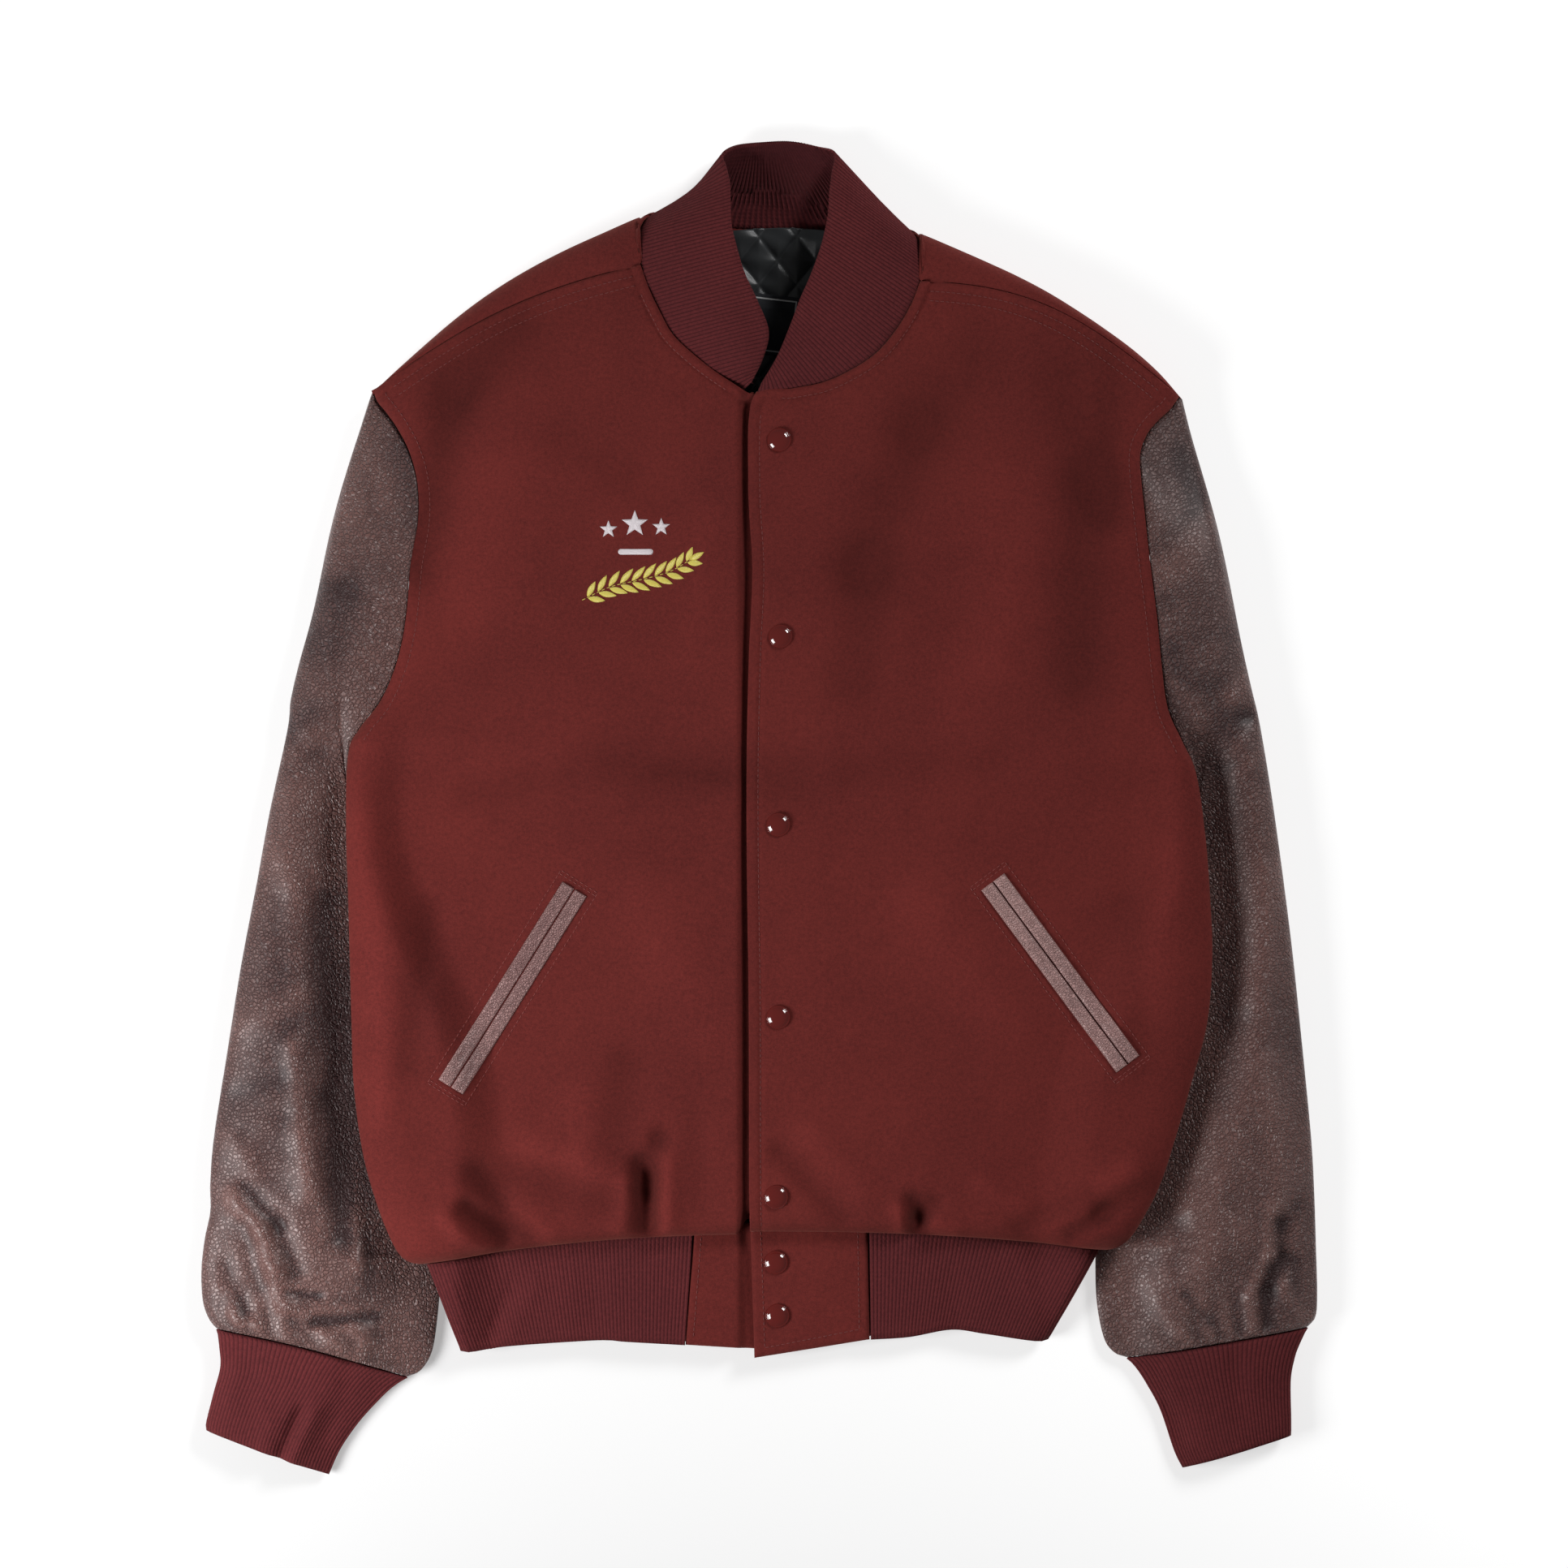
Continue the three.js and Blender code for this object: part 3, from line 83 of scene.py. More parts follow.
# %% [markdown]
# The cut of each panel is a short table, a row for each section, read off the flat jacket. A smooth
# curve through the rows gives all the sections between them. A front's row says where the section
# starts at the placket, how high it lies there and halfway, where it ends at the side, and how far it
# bows. The last two columns belong to the right front only, whose edge dips under the left one.
# %% Tables of the fronts
IN_X, IN_Y, IN_Z, MID_Z, OUT_X, OUT_Y, OUT_Z, BOW, HEM, DROP = range(10)
FRONT_RIGHT = np.array([
    [24, -262.6, 16.6, 16.6, -208.5, -285.5, 8.3, 5, 1, 1],
    [24, -266, 19.5, 19.5, -213.5, -285.8, 9.3, 5, 1, 1],
    [24, -266.8, 24, 24, -219.5, -284.3, 11, 5, 1, 1], [24, -264, 29, 29, -225, -280, 12.5, 5, 1, 1],
    [24, -257, 32.5, 32, -231, -269.5, 13.5, 4, 0.6, 1],
    [24, -240, 34, 33, -239.5, -247.5, 14.5, 2, 0, 1], [24, -212, 34.5, 33.5, -248, -216.5, 15, 0, 0, 1],
    [24, -175, 34.5, 33, -253.7, -175, 15, 0, 0, 1], [24, -135, 34.5, 33, -255.2, -135, 15.5, 0, 0, 1],
    [24, -95, 34.5, 33, -256.2, -95, 16, 0, 0, 1], [24, -55, 34.5, 33, -257.3, -55, 16, 0, 0, 1],
    [24, -15, 34.5, 33, -258.5, -15, 16, 0, 0, 1], [24, 25, 34.5, 33.5, -257.6, 33.7, 16, 0, 0, 1],
    [24, 68, 34.5, 34, -250.5, 50, 21, 0, 0, 1], [24, 112, 34.5, 34.5, -236.5, 68.5, 27, 0, 0, 1],
    [24, 156, 34.5, 35, -226.5, 92.3, 30.5, 0, 0, 1], [24, 205, 34.5, 35, -221, 118.5, 32, 0, 0, 1],
    [4, 254, 34.5, 35, -217.6, 153.5, 32.5, 0, 0, 1], [-7.5, 260.6, 35.5, 35, -213.2, 180, 32, 2, 0, 0.7],
    [-26.5, 272.9, 36, 35, -213.8, 204, 30.5, 4, 0, 0],
    [-40.3, 283.6, 36, 34.5, -219, 223.5, 28.5, 6, 0, 0],
    [-53.6, 296.3, 36, 34, -226.5, 238, 26.5, 8, 0, 0],
    [-61.7, 310.6, 35.5, 33, -233.5, 248, 24.5, 9, 0, 0],
    [-68.3, 324.4, 34.5, 31, -239.5, 255.5, 22.5, 11, 0, 0],
    [-74, 340.2, 33, 29, -241.8, 262.2, 20.5, 12, 0, 0],
], float)
FRONT_LEFT = np.array([
    [-5.6, -261.5, 16.6, 16.6, 213.5, -276.5, 8.3, 3, 0, 0],
    [-5.6, -264.8, 19.5, 19.5, 219.5, -276.8, 9.3, 3, 0, 0],
    [-5.6, -265.2, 24, 24, 226.5, -274.5, 11, 3, 0, 0],
    [-5.6, -262, 29, 29, 233.5, -268.5, 12.5, 3, 0, 0],
    [-5.7, -255, 32.5, 32, 240.5, -257.5, 13.5, 2, 0, 0], [-6, -238, 34, 33, 251, -237, 14.5, 1, 0, 0],
    [-6.1, -210, 34.5, 33.5, 260.5, -208.5, 15, 0, 0, 0],
    [-6.1, -173, 34.5, 33, 270.8, -173, 15, 0, 0, 0], [-6.2, -133, 34.5, 33, 280.8, -135, 15.5, 0, 0, 0],
    [-6.6, -93, 34.5, 33, 284.1, -94, 16, 0, 0, 0], [-7.2, -53, 34.5, 33, 282.6, -53, 16, 0, 0, 0],
    [-7.6, -13, 34.5, 33, 279.5, -15, 16, 0, 0, 0], [-7.6, 25, 34.5, 33.5, 273.9, 22.9, 16, 0, 0, 0],
    [-7, 62, 34.5, 34, 265.5, 42, 21, 0, 0, 0], [-6, 100, 34.5, 34.5, 256.5, 62, 27, 0, 0, 0],
    [-4, 150, 34.5, 35, 252.5, 88, 30.5, 0, 0, 0], [-6.6, 203, 34.5, 35, 249.5, 118, 32, 0, 0, 0],
    [-3.5, 257.5, 34.8, 35, 244.5, 158, 32.5, 2, 0, 0], [20.4, 262.6, 35.5, 35, 241.7, 184, 32, 5, 0, 0],
    [40, 266.5, 36, 35, 239.5, 206, 30.5, 8, 0, 0], [58, 274.5, 36, 34.5, 239, 222, 28.5, 11, 0, 0],
    [73.5, 285, 36, 34, 243.5, 234.5, 26.5, 14, 0, 0], [85.5, 299, 35.5, 33, 250.5, 243, 24.5, 16, 0, 0],
    [94.8, 314.5, 34.5, 31, 258, 250, 22.5, 18, 0, 0], [101, 330, 33, 29, 263.8, 258.2, 20.5, 20, 0, 0],
], float)
UNDERARM_ROW = 12
NECK_ROW_RIGHT = 18
NECK_ROW_LEFT = 17
print("sections of a front", len(FRONT_RIGHT), len(FRONT_LEFT))

# %% [markdown]
# The back needs its edges only: up each armhole, along each shoulder, where a row gives the foot on
# the table, the crest of the fold and its height, and round the neck. The hem rises behind.
# %% Tables of the back
BACK_ARMHOLE_RIGHT = np.array([
    [-250.5, 50, 8.5], [-238, 71, 3.2], [-228, 98, 1], [-222, 132, 0.3], [-219, 168, 0], [-221, 203, 0],
    [-226, 228, 0.2], [-233, 246, 0.6],
], float)
BACK_ARMHOLE_LEFT = np.array([
    [265.5, 42, 8.5], [256.5, 62, 3.2], [252, 88, 1], [249, 122, 0.3], [246.5, 158, 0], [246.5, 196, 0],
    [249, 224, 0.2], [254, 241, 0.6],
], float)
SHOULDER_RIGHT = np.array([
    [-233, 246, -243.8, 259.5, 10], [-212, 267, -222, 280.5, 12], [-183, 294, -191.2, 307.5, 13],
    [-153, 315, -160.7, 329.5, 14], [-118, 335, -125, 349.4, 15], [-78, 354, -77, 371, 15],
], float)
SHOULDER_LEFT = np.array([
    [254, 241, 266.3, 257, 10], [237, 262, 245.8, 279.5, 12], [208, 285, 216.2, 302.4, 13],
    [170, 309, 177.5, 326.9, 14], [131, 327, 138.2, 345.8, 15], [98, 346, 102.5, 361, 15],
], float)
BACK_NECK = np.array([
    [-68, 353, -74.5, 371, 14, -75.5, 356, 29], [-59, 352, -69.5, 373.6, 12.5, -73.3, 367, 21],
    [-50, 351, -61, 370.5, 6, -67, 373.8, 12], [-40, 350, -48, 364, 1.8, -54, 370.5, 5.5],
    [-26, 349, -30, 360, 1, -33, 367, 3.4], [13, 347, 12.8, 358, 0.8, 12.8, 364.7, 3],
    [52, 346, 57, 357, 1, 60, 363.6, 3.4], [68, 345, 76, 357.5, 1.8, 82, 362, 5.5],
    [78, 345, 89, 361.5, 6, 95.4, 362.8, 12], [86, 345, 97.5, 362.8, 12.5, 102, 354.5, 21],
    [93, 345, 101.2, 360, 14, 103.8, 342, 29],
], float)
BACK_HEM_RISE = np.array([17, 19, 20.5, 20, 14, 8, 3], float)
print("rows round the neck", len(BACK_NECK))

# %% [markdown]
# A sleeve, a cuff and the waistband each lie between two lines on the table, an outer and an inner
# one or an upper and a lower one. The collar has one line, its free edge, with heights.
# %% Tables of the sleeves and the trim
SLEEVE_RIGHT_OUTER = np.array([
    [-244.2, 258.5], [-252.5, 233.6], [-262.1, 203.5], [-270.3, 171.4], [-276.4, 140.8], [-281, 119.3],
    [-288.1, 95.9], [-294.3, 69.4], [-296.3, 50], [-307.5, -2], [-315.7, -46.9], [-325.4, -97.9],
    [-334.1, -152], [-342.7, -206], [-345.2, -235.6], [-345.2, -253.5], [-348.8, -271.3],
    [-350.9, -291.2], [-349.9, -310.6], [-345.8, -321.9], [-341.5, -327],
], float)
SLEEVE_RIGHT_INNER = np.array([
    [-258, 33.4], [-260.3, 16], [-260.3, -8], [-257, -32], [-247, -58], [-231, -92], [-213, -130],
    [-201, -170], [-196, -215], [-197, -255], [-200, -290], [-202.5, -320], [-206, -342], [-213, -354],
    [-221.3, -358],
], float)
SLEEVE_LEFT_OUTER = np.array([
    [266.6, 256], [273, 230], [281, 201.5], [289.7, 171.4], [297.3, 135.2], [302.4, 108.6], [309.6, 76.5],
    [315.2, 51.5], [323.9, -2], [334.1, -78.5], [341.2, -144.8], [347.3, -206], [349.4, -241.2],
    [350.6, -276.4], [351.4, -305], [350.4, -319.8], [345.5, -326],
], float)
SLEEVE_LEFT_INNER = np.array([
    [273, 22.6], [271, 6], [271.5, -18], [271, -42], [263, -68], [250, -98], [235, -132], [222, -170],
    [215, -212], [213, -250], [212, -285], [213, -312], [217.5, -334], [224, -343], [231.5, -345.8],
], float)
CUFF_RIGHT_OUTER = np.array([
    [-341, -328], [-339.5, -340], [-339, -352], [-343.2, -368], [-347.8, -386], [-348, -391.4],
], float)
CUFF_RIGHT_INNER = np.array([
    [-221.3, -358.6], [-231, -365], [-240.7, -374.3], [-252.5, -387.5], [-263.7, -403.8], [-271, -419.8],
], float)
CUFF_LEFT_OUTER = np.array([
    [345, -327.4], [340, -338], [337.1, -346.3], [334.8, -360], [335, -382], [335.1, -394.7],
], float)
CUFF_LEFT_INNER = np.array([
    [232, -346.4], [238, -353], [244.5, -363], [253, -379], [261.6, -404.4], [267, -415.6],
], float)
BAND_BOTTOM_RIGHT = np.array([
    [-46.5, -337.6], [-82.6, -335.6], [-101.5, -334.6], [-156, -338.1], [-180.5, -341.6], [-187.5, -341],
], float)
BAND_BOTTOM_LEFT = np.array([
    [70.4, -334.1], [94.4, -332.5], [120.9, -327.9], [142.3, -330.5], [173.9, -335.2], [182.3, -334.4],
], float)
COLLAR_EDGE = np.array([
    [-4.6, 266.2, 36], [2.5, 280.5, 39], [6.4, 297.8, 40.5], [-0.5, 316.7, 41], [-8.7, 334.6, 40.5],
    [-13.6, 350.9, 39], [-17, 366, 36.5], [-17.6, 380, 33], [-18.6, 393, 28], [-21.5, 404.5, 22],
    [-23.5, 411.5, 16], [-14.5, 417.6, 10], [4, 419.8, 8], [20.4, 420.2, 7.5], [37, 416.9, 9],
    [48, 412.6, 15], [46.2, 400, 22], [44.2, 386, 28], [43.2, 372, 33], [40, 356, 37],
    [36.2, 343.7, 39.5], [31.6, 331.5, 40.5], [25.5, 317.7, 41], [20.4, 304, 40.5], [11.7, 283.1, 39],
    [1.2, 265.2, 36.5],
], float)
SLEEVE_HEAD = 0.15
HEAD_PULL = 60
UNDERARM_PULL = 0.1
SPREAD_RUN = 0.6
print("collar edge points", len(COLLAR_EDGE))

# %% [markdown]
# Cloth lies in folds that no pattern gives, so they are listed, each as a row: from x, y, to
# x, y, its width and its height, where a minus sign makes a trough. The broad ones shape the solid
# as well; the fine ones and the wrinkles belong to the sheets alone.
# %% Tables of folds
FRONT_FOLDS = np.array([
    [-150, 300, -190, 265, 26, -3.5], [-190, 265, -214, 150, 22, -4], [-165, 215, -175, 140, 40, 2.5],
    [190, 270, 207, 205, 26, -3], [207, 205, 202, 80, 26, -3], [-90, 30, 20, 18, 26, -2],
    [-75, -60, -35, -135, 30, 2], [100, -60, 150, -130, 32, 2], [-74, -222, -68, -262, 9, -6],
    [-176, -228, -146, -268, 14, -4], [97, -246, 104, -268, 9, -4.5], [165, -262, 205, -242, 12, -3.5],
    [-235, -120, -246, -10, 22, 2], [250, -120, 256, -30, 22, 2],
], float)
SLEEVE_FOLDS = np.array([
    [-222, 224, -214, 180, 16, -3.5], [-278, 140, -252, 134, 12, -2.5], [-300, 46, -270, 66, 14, -3],
    [-322, -135, -286, -118, 16, 2], [-268, -60, -250, -240, 20, -4], [-328, -245, -300, -315, 14, 2.5],
    [-292, -320, -252, -312, 10, -2.5], [265, 220, 278, 190, 12, -3], [248, 150, 278, 182, 12, 2.5],
    [280, 75, 288, 55, 12, -3], [278, 52, 303, 78, 12, 2.5], [322, -290, 326, -322, 9, -2.5],
    [337, -285, 336, -318, 8, -2.5], [262, -300, 300, -265, 18, 2.5],
], float)
FINE_FOLDS = np.array([
    [-60, 24, -20, 20, 9, -0.9], [-180, 10, -120, 22, 16, -1.2], [60, 22, 150, 32, 18, -1.2],
    [-205, -60, -215, -160, 12, -1.2], [-30, 180, -42, 90, 18, 1], [60, 150, 120, 120, 26, -1],
    [-62, -206, -70, -240, 10, -3.6], [-69, -232, -73, -262, 12, -3.6], [-59, -222, -57, -262, 11, 3],
    [-84, -236, -86, -262, 11, 2.2], [-182, -250, -158, -270, 9, -4.5], [-196, -256, -172, -276, 10, 2.6],
    [-150, -252, -132, -266, 12, 2], [-152, -228, -92, -247, 15, -2.4], [-140, -212, -100, -226, 16, 1.6],
    [-81, -160, -85, -214, 18, -2], [-112, -180, -108, -235, 18, 1.4], [109, -247, 100, -258, 9, -3],
    [100, -258, 98, -272, 8, -3.6], [88, -252, 90, -268, 8, 2.4], [110, -262, 122, -266, 8, 2.6],
    [196, -267, 217, -252, 9, -3.6], [217, -252, 247, -234, 12, -2.6], [188, -252, 232, -226, 13, 2.2],
    [14, -214, 52, -256, 11, -2.2], [34, -206, 66, -240, 14, 1.5], [140, -236, 182, -262, 12, 1.4],
    [134, 282, 101, 238, 30, -2.4], [101, 238, 68, 152, 30, -3], [68, 152, 64, 80, 28, -2.2],
    [150, 190, 128, 60, 34, 1.6], [220, 280, 219, 182, 16, -2.2], [-120, 238, -60, 190, 22, -1.2],
    [175, 180, 150, 90, 22, 1.2], [-232, -90, -236, -190, 14, 1.6], [232, -60, 240, -160, 14, -1.2],
    [-40, -190, -34, -252, 12, -1],
], float)
SLEEVE_WRINKLES = np.array([
    [-300, 120, -262, 96, 10, -1.6], [-292, 92, -268, 66, 9, 1.4], [-306, 20, -276, 30, 12, -1.4],
    [-312, -20, -280, -60, 15, 1.6], [-262, -70, -272, -170, 13, 2], [-300, -60, -290, -190, 16, -1.6],
    [-330, -245, -311, -266, 10, 2.8], [-311, -266, -303, -288, 10, 2.3], [-303, -288, -299, -310, 10, 2],
    [-322, -238, -301, -262, 8, -2.4], [-301, -262, -291, -290, 10, -2.2],
    [-322, -262, -313, -300, 10, -2.4], [-297, -304, -276, -306, 4, -2],
    [-280, -323, -240, -320, 5, -2.6], [-284, -316, -244, -311, 6, 1.6], [-296, -312, -262, -338, 6, 1.8],
    [-274, -58, -266, -180, 14, -3], [-266, -180, -260, -268, 13, -4.2], [-253, -225, -251, -288, 6, 2.2],
    [-292, -150, -282, -240, 12, 2.4], [-330, -180, -300, -170, 12, -1.4],
    [-336, -205, -318, -228, 11, 1.6], [-332, -318, -316, -326, 7, 1.8], [-254, -326, -240, -340, 7, 2],
    [-334, -286, -322, -316, 7, -1.6], [-246, -270, -240, -345, 9, -1.8],
    [-222, -275, -224, -350, 9, 1.6], [-340, -300, -326, -322, 7, 1.2], [-236, 150, -262, 138, 10, -1],
    [-250, 236, -236, 190, 9, 1], [-262, 170, -258, 110, 12, -1.2], [300, 120, 286, 60, 9, -1.4],
    [296, 150, 290, 100, 10, 1.4], [306, 60, 284, 30, 9, -2], [300, 22, 322, 40, 9, 1.6],
    [322, -40, 308, -120, 14, 1.6], [296, -60, 292, -180, 14, -1.6], [330, -120, 344, -190, 12, -1.2],
    [318, -160, 330, -250, 12, 1.5], [286, -150, 270, -250, 13, 1.8], [338, -250, 328, -261, 8, -1.9],
    [328, -261, 329, -283, 8, -1.9], [329, -283, 318, -304, 8, -2], [318, -304, 320, -326, 8, -1.9],
    [322, -250, 320, -280, 8, 2], [320, -280, 309, -306, 7, 2.2], [309, -306, 311, -326, 7, 1.8],
    [262, 102, 292, 112, 6, -2.2], [252, 81, 280, 66, 7, 2.4], [280, 66, 307, 57, 7, -2.4],
    [247, -222, 264, -250, 11, 2.2], [264, -250, 262, -300, 11, -1.6], [250, -190, 246, -280, 12, -1.6],
    [290, -230, 276, -310, 12, 1.5], [244, -300, 262, -330, 7, 1.6], [268, -306, 282, -322, 6, -1.6],
    [330, -300, 340, -318, 7, 1.5], [226, -270, 232, -335, 8, 1.4], [250, 162, 271, 184, 9, -3.4],
    [260, 146, 279, 167, 10, 2.4], [264, 226, 273, 198, 9, -2.2], [281, 215, 286, 180, 8, 1.5],
    [251, 127, 268, 139, 8, -2.2], [257, 102, 268, 78, 8, -2.2], [272, 75, 294, 81, 4, -1.4],
    [276, 66, 296, 72, 6, 1.5], [268, 38, 291, 53, 6, -1.8], [-246, 206, -236, 178, 9, -1.8],
    [-258, 190, -262, 150, 10, 1.4],
], float)
KNIT_CREASES = np.array([
    [-289, -380, -301, -408, 6, -4.5], [-280, -382, -292, -408, 7, 2], [-306, -388, -312, -404, 8, 1.2],
    [-258, -350, -272, -396, 10, -1.5], [-330, -352, -334, -378, 10, 1.2],
    [256, -352, 270, -400, 10, 1.5], [300, -346, 304, -384, 12, -1.3], [-156, -302, -171, -334, 6, -2],
    [-140, -300, -156, -330, 8, 1.2], [-190, -290, -186, -320, 8, 1.2],
    [-106, -300, -104, -332, 12, -0.9], [120, -296, 124, -330, 12, -0.9], [168, -296, 176, -326, 9, 1],
], float)
print("folds and creases", sum(len(t) for t in (FRONT_FOLDS, SLEEVE_FOLDS, FINE_FOLDS, SLEEVE_WRINKLES,
                                               KNIT_CREASES)))

# %% [markdown]
# The tables were measured from the middle of the photo. One snap and the back of the solids show how
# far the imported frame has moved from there, and every sheet is moved by as much.
# %% Shift into the frame
shift = Vector(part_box("snap_1")[0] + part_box("snap_1")[1]) / 2 / MM - Vector((12.8, 230.5, 0))
SHIFT = np.array([shift.x, shift.y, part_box("back")[0].z / MM])
print("shift of the pattern in the frame, mm", SHIFT.round(2))

# %% [markdown]
# Small helpers for smooth changes, for lines through points and for finer grids. They work on whole
# arrays at once, which keeps a sheet of many thousand points quick.
# %% Curves and grids
def clamp(t):
    return np.clip(t, 0.0, 1.0)


def smooth(t):
    """0 to 1 with a gentle start and end."""
    return clamp(t) ** 2 * (3 - 2 * clamp(t))


def mix(a, b, t):
    return a + (b - a) * t


def roll(distance, radius):
    """Height share of an edge rolled to a radius."""
    return np.sqrt(1 - (1 - clamp(distance / radius)) ** 2)


def refined(rows, factor):
    """A table or grid with smooth rows set between its own rows."""
    rows = np.asarray(rows, float)
    padded = np.concatenate([[2 * rows[0] - rows[1]], rows, [2 * rows[-1] - rows[-2]]])
    places = np.arange((len(rows) - 1) * factor + 1) / factor
    cell = np.minimum(places.astype(int), len(rows) - 2)
    u = (places - cell).reshape((-1,) + (1,) * (rows.ndim - 1))
    a, b, c, d = (padded[cell + k] for k in range(4))
    square, cube = 2 * a - 5 * b + 4 * c - d, 3 * b - a - 3 * c + d
    return 0.5 * (2 * b + (c - a) * u + square * u ** 2 + cube * u ** 3)


def read_line(points, fractions):
    """Points at fractions of a line's length."""
    points = np.asarray(points, float)
    steps = np.linalg.norm(np.diff(points, axis=0), axis=1)
    lengths = np.concatenate([[0], np.cumsum(steps)]) / steps.sum()
    return np.stack([np.interp(fractions, lengths, column) for column in points.T], axis=-1)


def rail(points):
    """A smooth line through points that returns places by their fraction of its length."""
    fine = refined(points, 24)
    return lambda fractions: read_line(fine, clamp(np.asarray(fractions, float)))


def fold_height(folds, x, y):
    """Height that a table of folds adds: from x, y, to x, y, width and height of each."""
    total = np.zeros(np.shape(x))
    for from_x, from_y, to_x, to_y, width, height in folds:
        dx, dy = to_x - from_x, to_y - from_y
        length = math.hypot(dx, dy)
        along = ((x - from_x) * dx + (y - from_y) * dy) / length
        across = ((x - from_x) * dy - (y - from_y) * dx) / length
        beyond = np.maximum(0, np.maximum(-along, along - length)) / width
        total += height * np.exp(-2 * (across / width) ** 2 - 2 * beyond ** 2)
    return total


def ripples(x, y, seed, scale, octaves=3):
    """Gentle random undulation between -1 and 1, the same on each run."""
    rng = np.random.default_rng(seed)
    total = np.zeros(np.shape(x))
    for octave in range(octaves):
        for _ in range(4):
            angle, phase = rng.uniform(0, 2 * math.pi, 2)
            wave = scale / (1.7 ** octave) * rng.uniform(0.8, 1.25)
            place = (x * math.cos(angle) + y * math.sin(angle)) * 2 * math.pi / wave
            total += np.sin(place + phase) / (1.6 ** octave * 4)
    return total


print("a smooth step at a quarter", smooth(0.25).round(3))

# %% [markdown]
# A grid of points stands for a sheet. Its normals say which way it faces, and evening it draws each
# point toward its neighbours, as stiff cloth smooths a kink.
# %% Normals and evening
def grid_normals(grid, closed=False):
    if closed:
        along = np.roll(grid, -1, axis=1) - np.roll(grid, 1, axis=1)
    else:
        along = np.gradient(grid, axis=1)
    normals = np.cross(along, np.gradient(grid, axis=0))
    return normals / np.maximum(np.linalg.norm(normals, axis=2, keepdims=True), 1e-9)


def evened(grid, passes, closed=False):
    """The grid with each point drawn toward the middle of its neighbours in its row and column."""
    for _ in range(passes):
        sides = np.pad(grid, ((0, 0), (1, 1), (0, 0)), mode="wrap" if closed else "edge")
        ends = np.pad(grid, ((1, 1), (0, 0), (0, 0)), mode="edge")
        around = (sides[:, :-2] + sides[:, 2:] + ends[:-2] + ends[2:]) / 4
        grid = mix(grid, around, 0.5)
    return grid


flat = np.zeros((2, 2, 3))
flat[:, 1, 0] = 1
flat[1, :, 1] = 1
print("a flat sheet faces", grid_normals(flat)[0, 0])

# %% [markdown]
# The body lies on the sleeves where they tuck under it, so every body point near them is lifted.
# %% Lift over the sleeves
def rail_x(points, y):
    order = np.argsort(points[:, 1])
    return np.interp(y, points[order, 1], points[order, 0])


def body_lift(x, y):
    right = -(x - rail_x(SLEEVE_RIGHT_INNER, y))
    left = x - rail_x(SLEEVE_LEFT_INNER, y)
    outside = np.where(x < 0, right, left)
    return BODY_LIFT * smooth((outside + 40) / 35) * (1 - smooth(y / 80))


def lifted(grid):
    out = grid.copy()
    out[..., 2] += body_lift(grid[..., 0], grid[..., 1])
    return out


print("lift beside the left sleeve", body_lift(np.array([250.0]), np.array([-150.0])).round(1), "mm")

# %% [markdown]
# Each front is a sheet from the placket to the side seam. Sections run across it, from the hem, which
# rolls under, to the shoulder seam. Troughs and ridges are laid in from the fold table.
# %% Front panels
FRONT_ROW_FACTOR = 8
INNER_STEPS = [0, 0.7, 1.6, 3, 4.6, 5.9, 6.7, 7.5, 8.6, 11, 14]
ROLL_ANGLES = 12
FINE_SHARE = 1.3
FRONT_RIPPLE = 0.6
SAG = 5


def front_rows(table):
    rows = refined(table, FRONT_ROW_FACTOR)
    return rows, np.arange(len(rows)) / FRONT_ROW_FACTOR


def front_points(rows, k, fractions, direction, fine=True):
    """Places of a front at fractions of each section, from the placket out to the side."""
    column = [rows[:, c:c + 1] for c in range(10)]
    k = k[:, None]
    length = np.hypot(column[OUT_X] - column[IN_X], column[OUT_Y] - column[IN_Y])
    s = fractions
    x = mix(column[IN_X], column[OUT_X], s)
    under = column[DROP] * smooth((x * -direction - UNDERLAP_EDGE_X) / UNDERLAP_RUN)
    y = mix(column[IN_Y], column[OUT_Y], s) + column[BOW] * np.sin(math.pi * s)
    y = y + UNDERLAP_HEM_RISE * column[HEM] * under
    below = smooth(UNDERARM_ROW + 0.5 - k)
    sag = SAG * smooth((s - 0.35) / 0.5) * smooth((k - 3) / 3) * below
    top = mix(column[IN_Z], column[MID_Z], smooth(s / 0.4)) - sag
    folds = fold_height(FRONT_FOLDS, x, y)
    if fine:
        folds = folds + FINE_SHARE * fold_height(FINE_FOLDS, x, y) + FRONT_RIPPLE * ripples(x, y, 11, 74)
    creased = top + folds * smooth(k / 4) * smooth((len(rows) / FRONT_ROW_FACTOR - k) / 4)
    width = mix(20, SIDE_ROLL_FRONT, below)
    z = mix(column[OUT_Z], creased, roll(length * (1 - s), width))
    return np.stack([x, y, z - UNDERLAP_DROP * under], axis=2)


def front_sheet(table, direction):
    rows, k = front_rows(table)
    length = np.hypot(rows[:, OUT_X] - rows[:, IN_X], rows[:, OUT_Y] - rows[:, IN_Y])[:, None]
    near = np.array(INNER_STEPS) / length
    angles = np.linspace(math.pi / 2, 0, ROLL_ANGLES)
    far = 1 - SIDE_ROLL_FRONT * (1 - np.cos(angles)) / length
    middle = mix(near[:, -1:], far[:, :1], np.linspace(0, 1, 104)[None, 1:-1])
    return front_points(rows, k, np.concatenate([near, middle, far], axis=1), direction), k


front_right_grid, front_k = front_sheet(FRONT_RIGHT, -1)
front_left_grid, _ = front_sheet(FRONT_LEFT, 1)
print("front sheets", front_right_grid.shape, front_left_grid.shape)

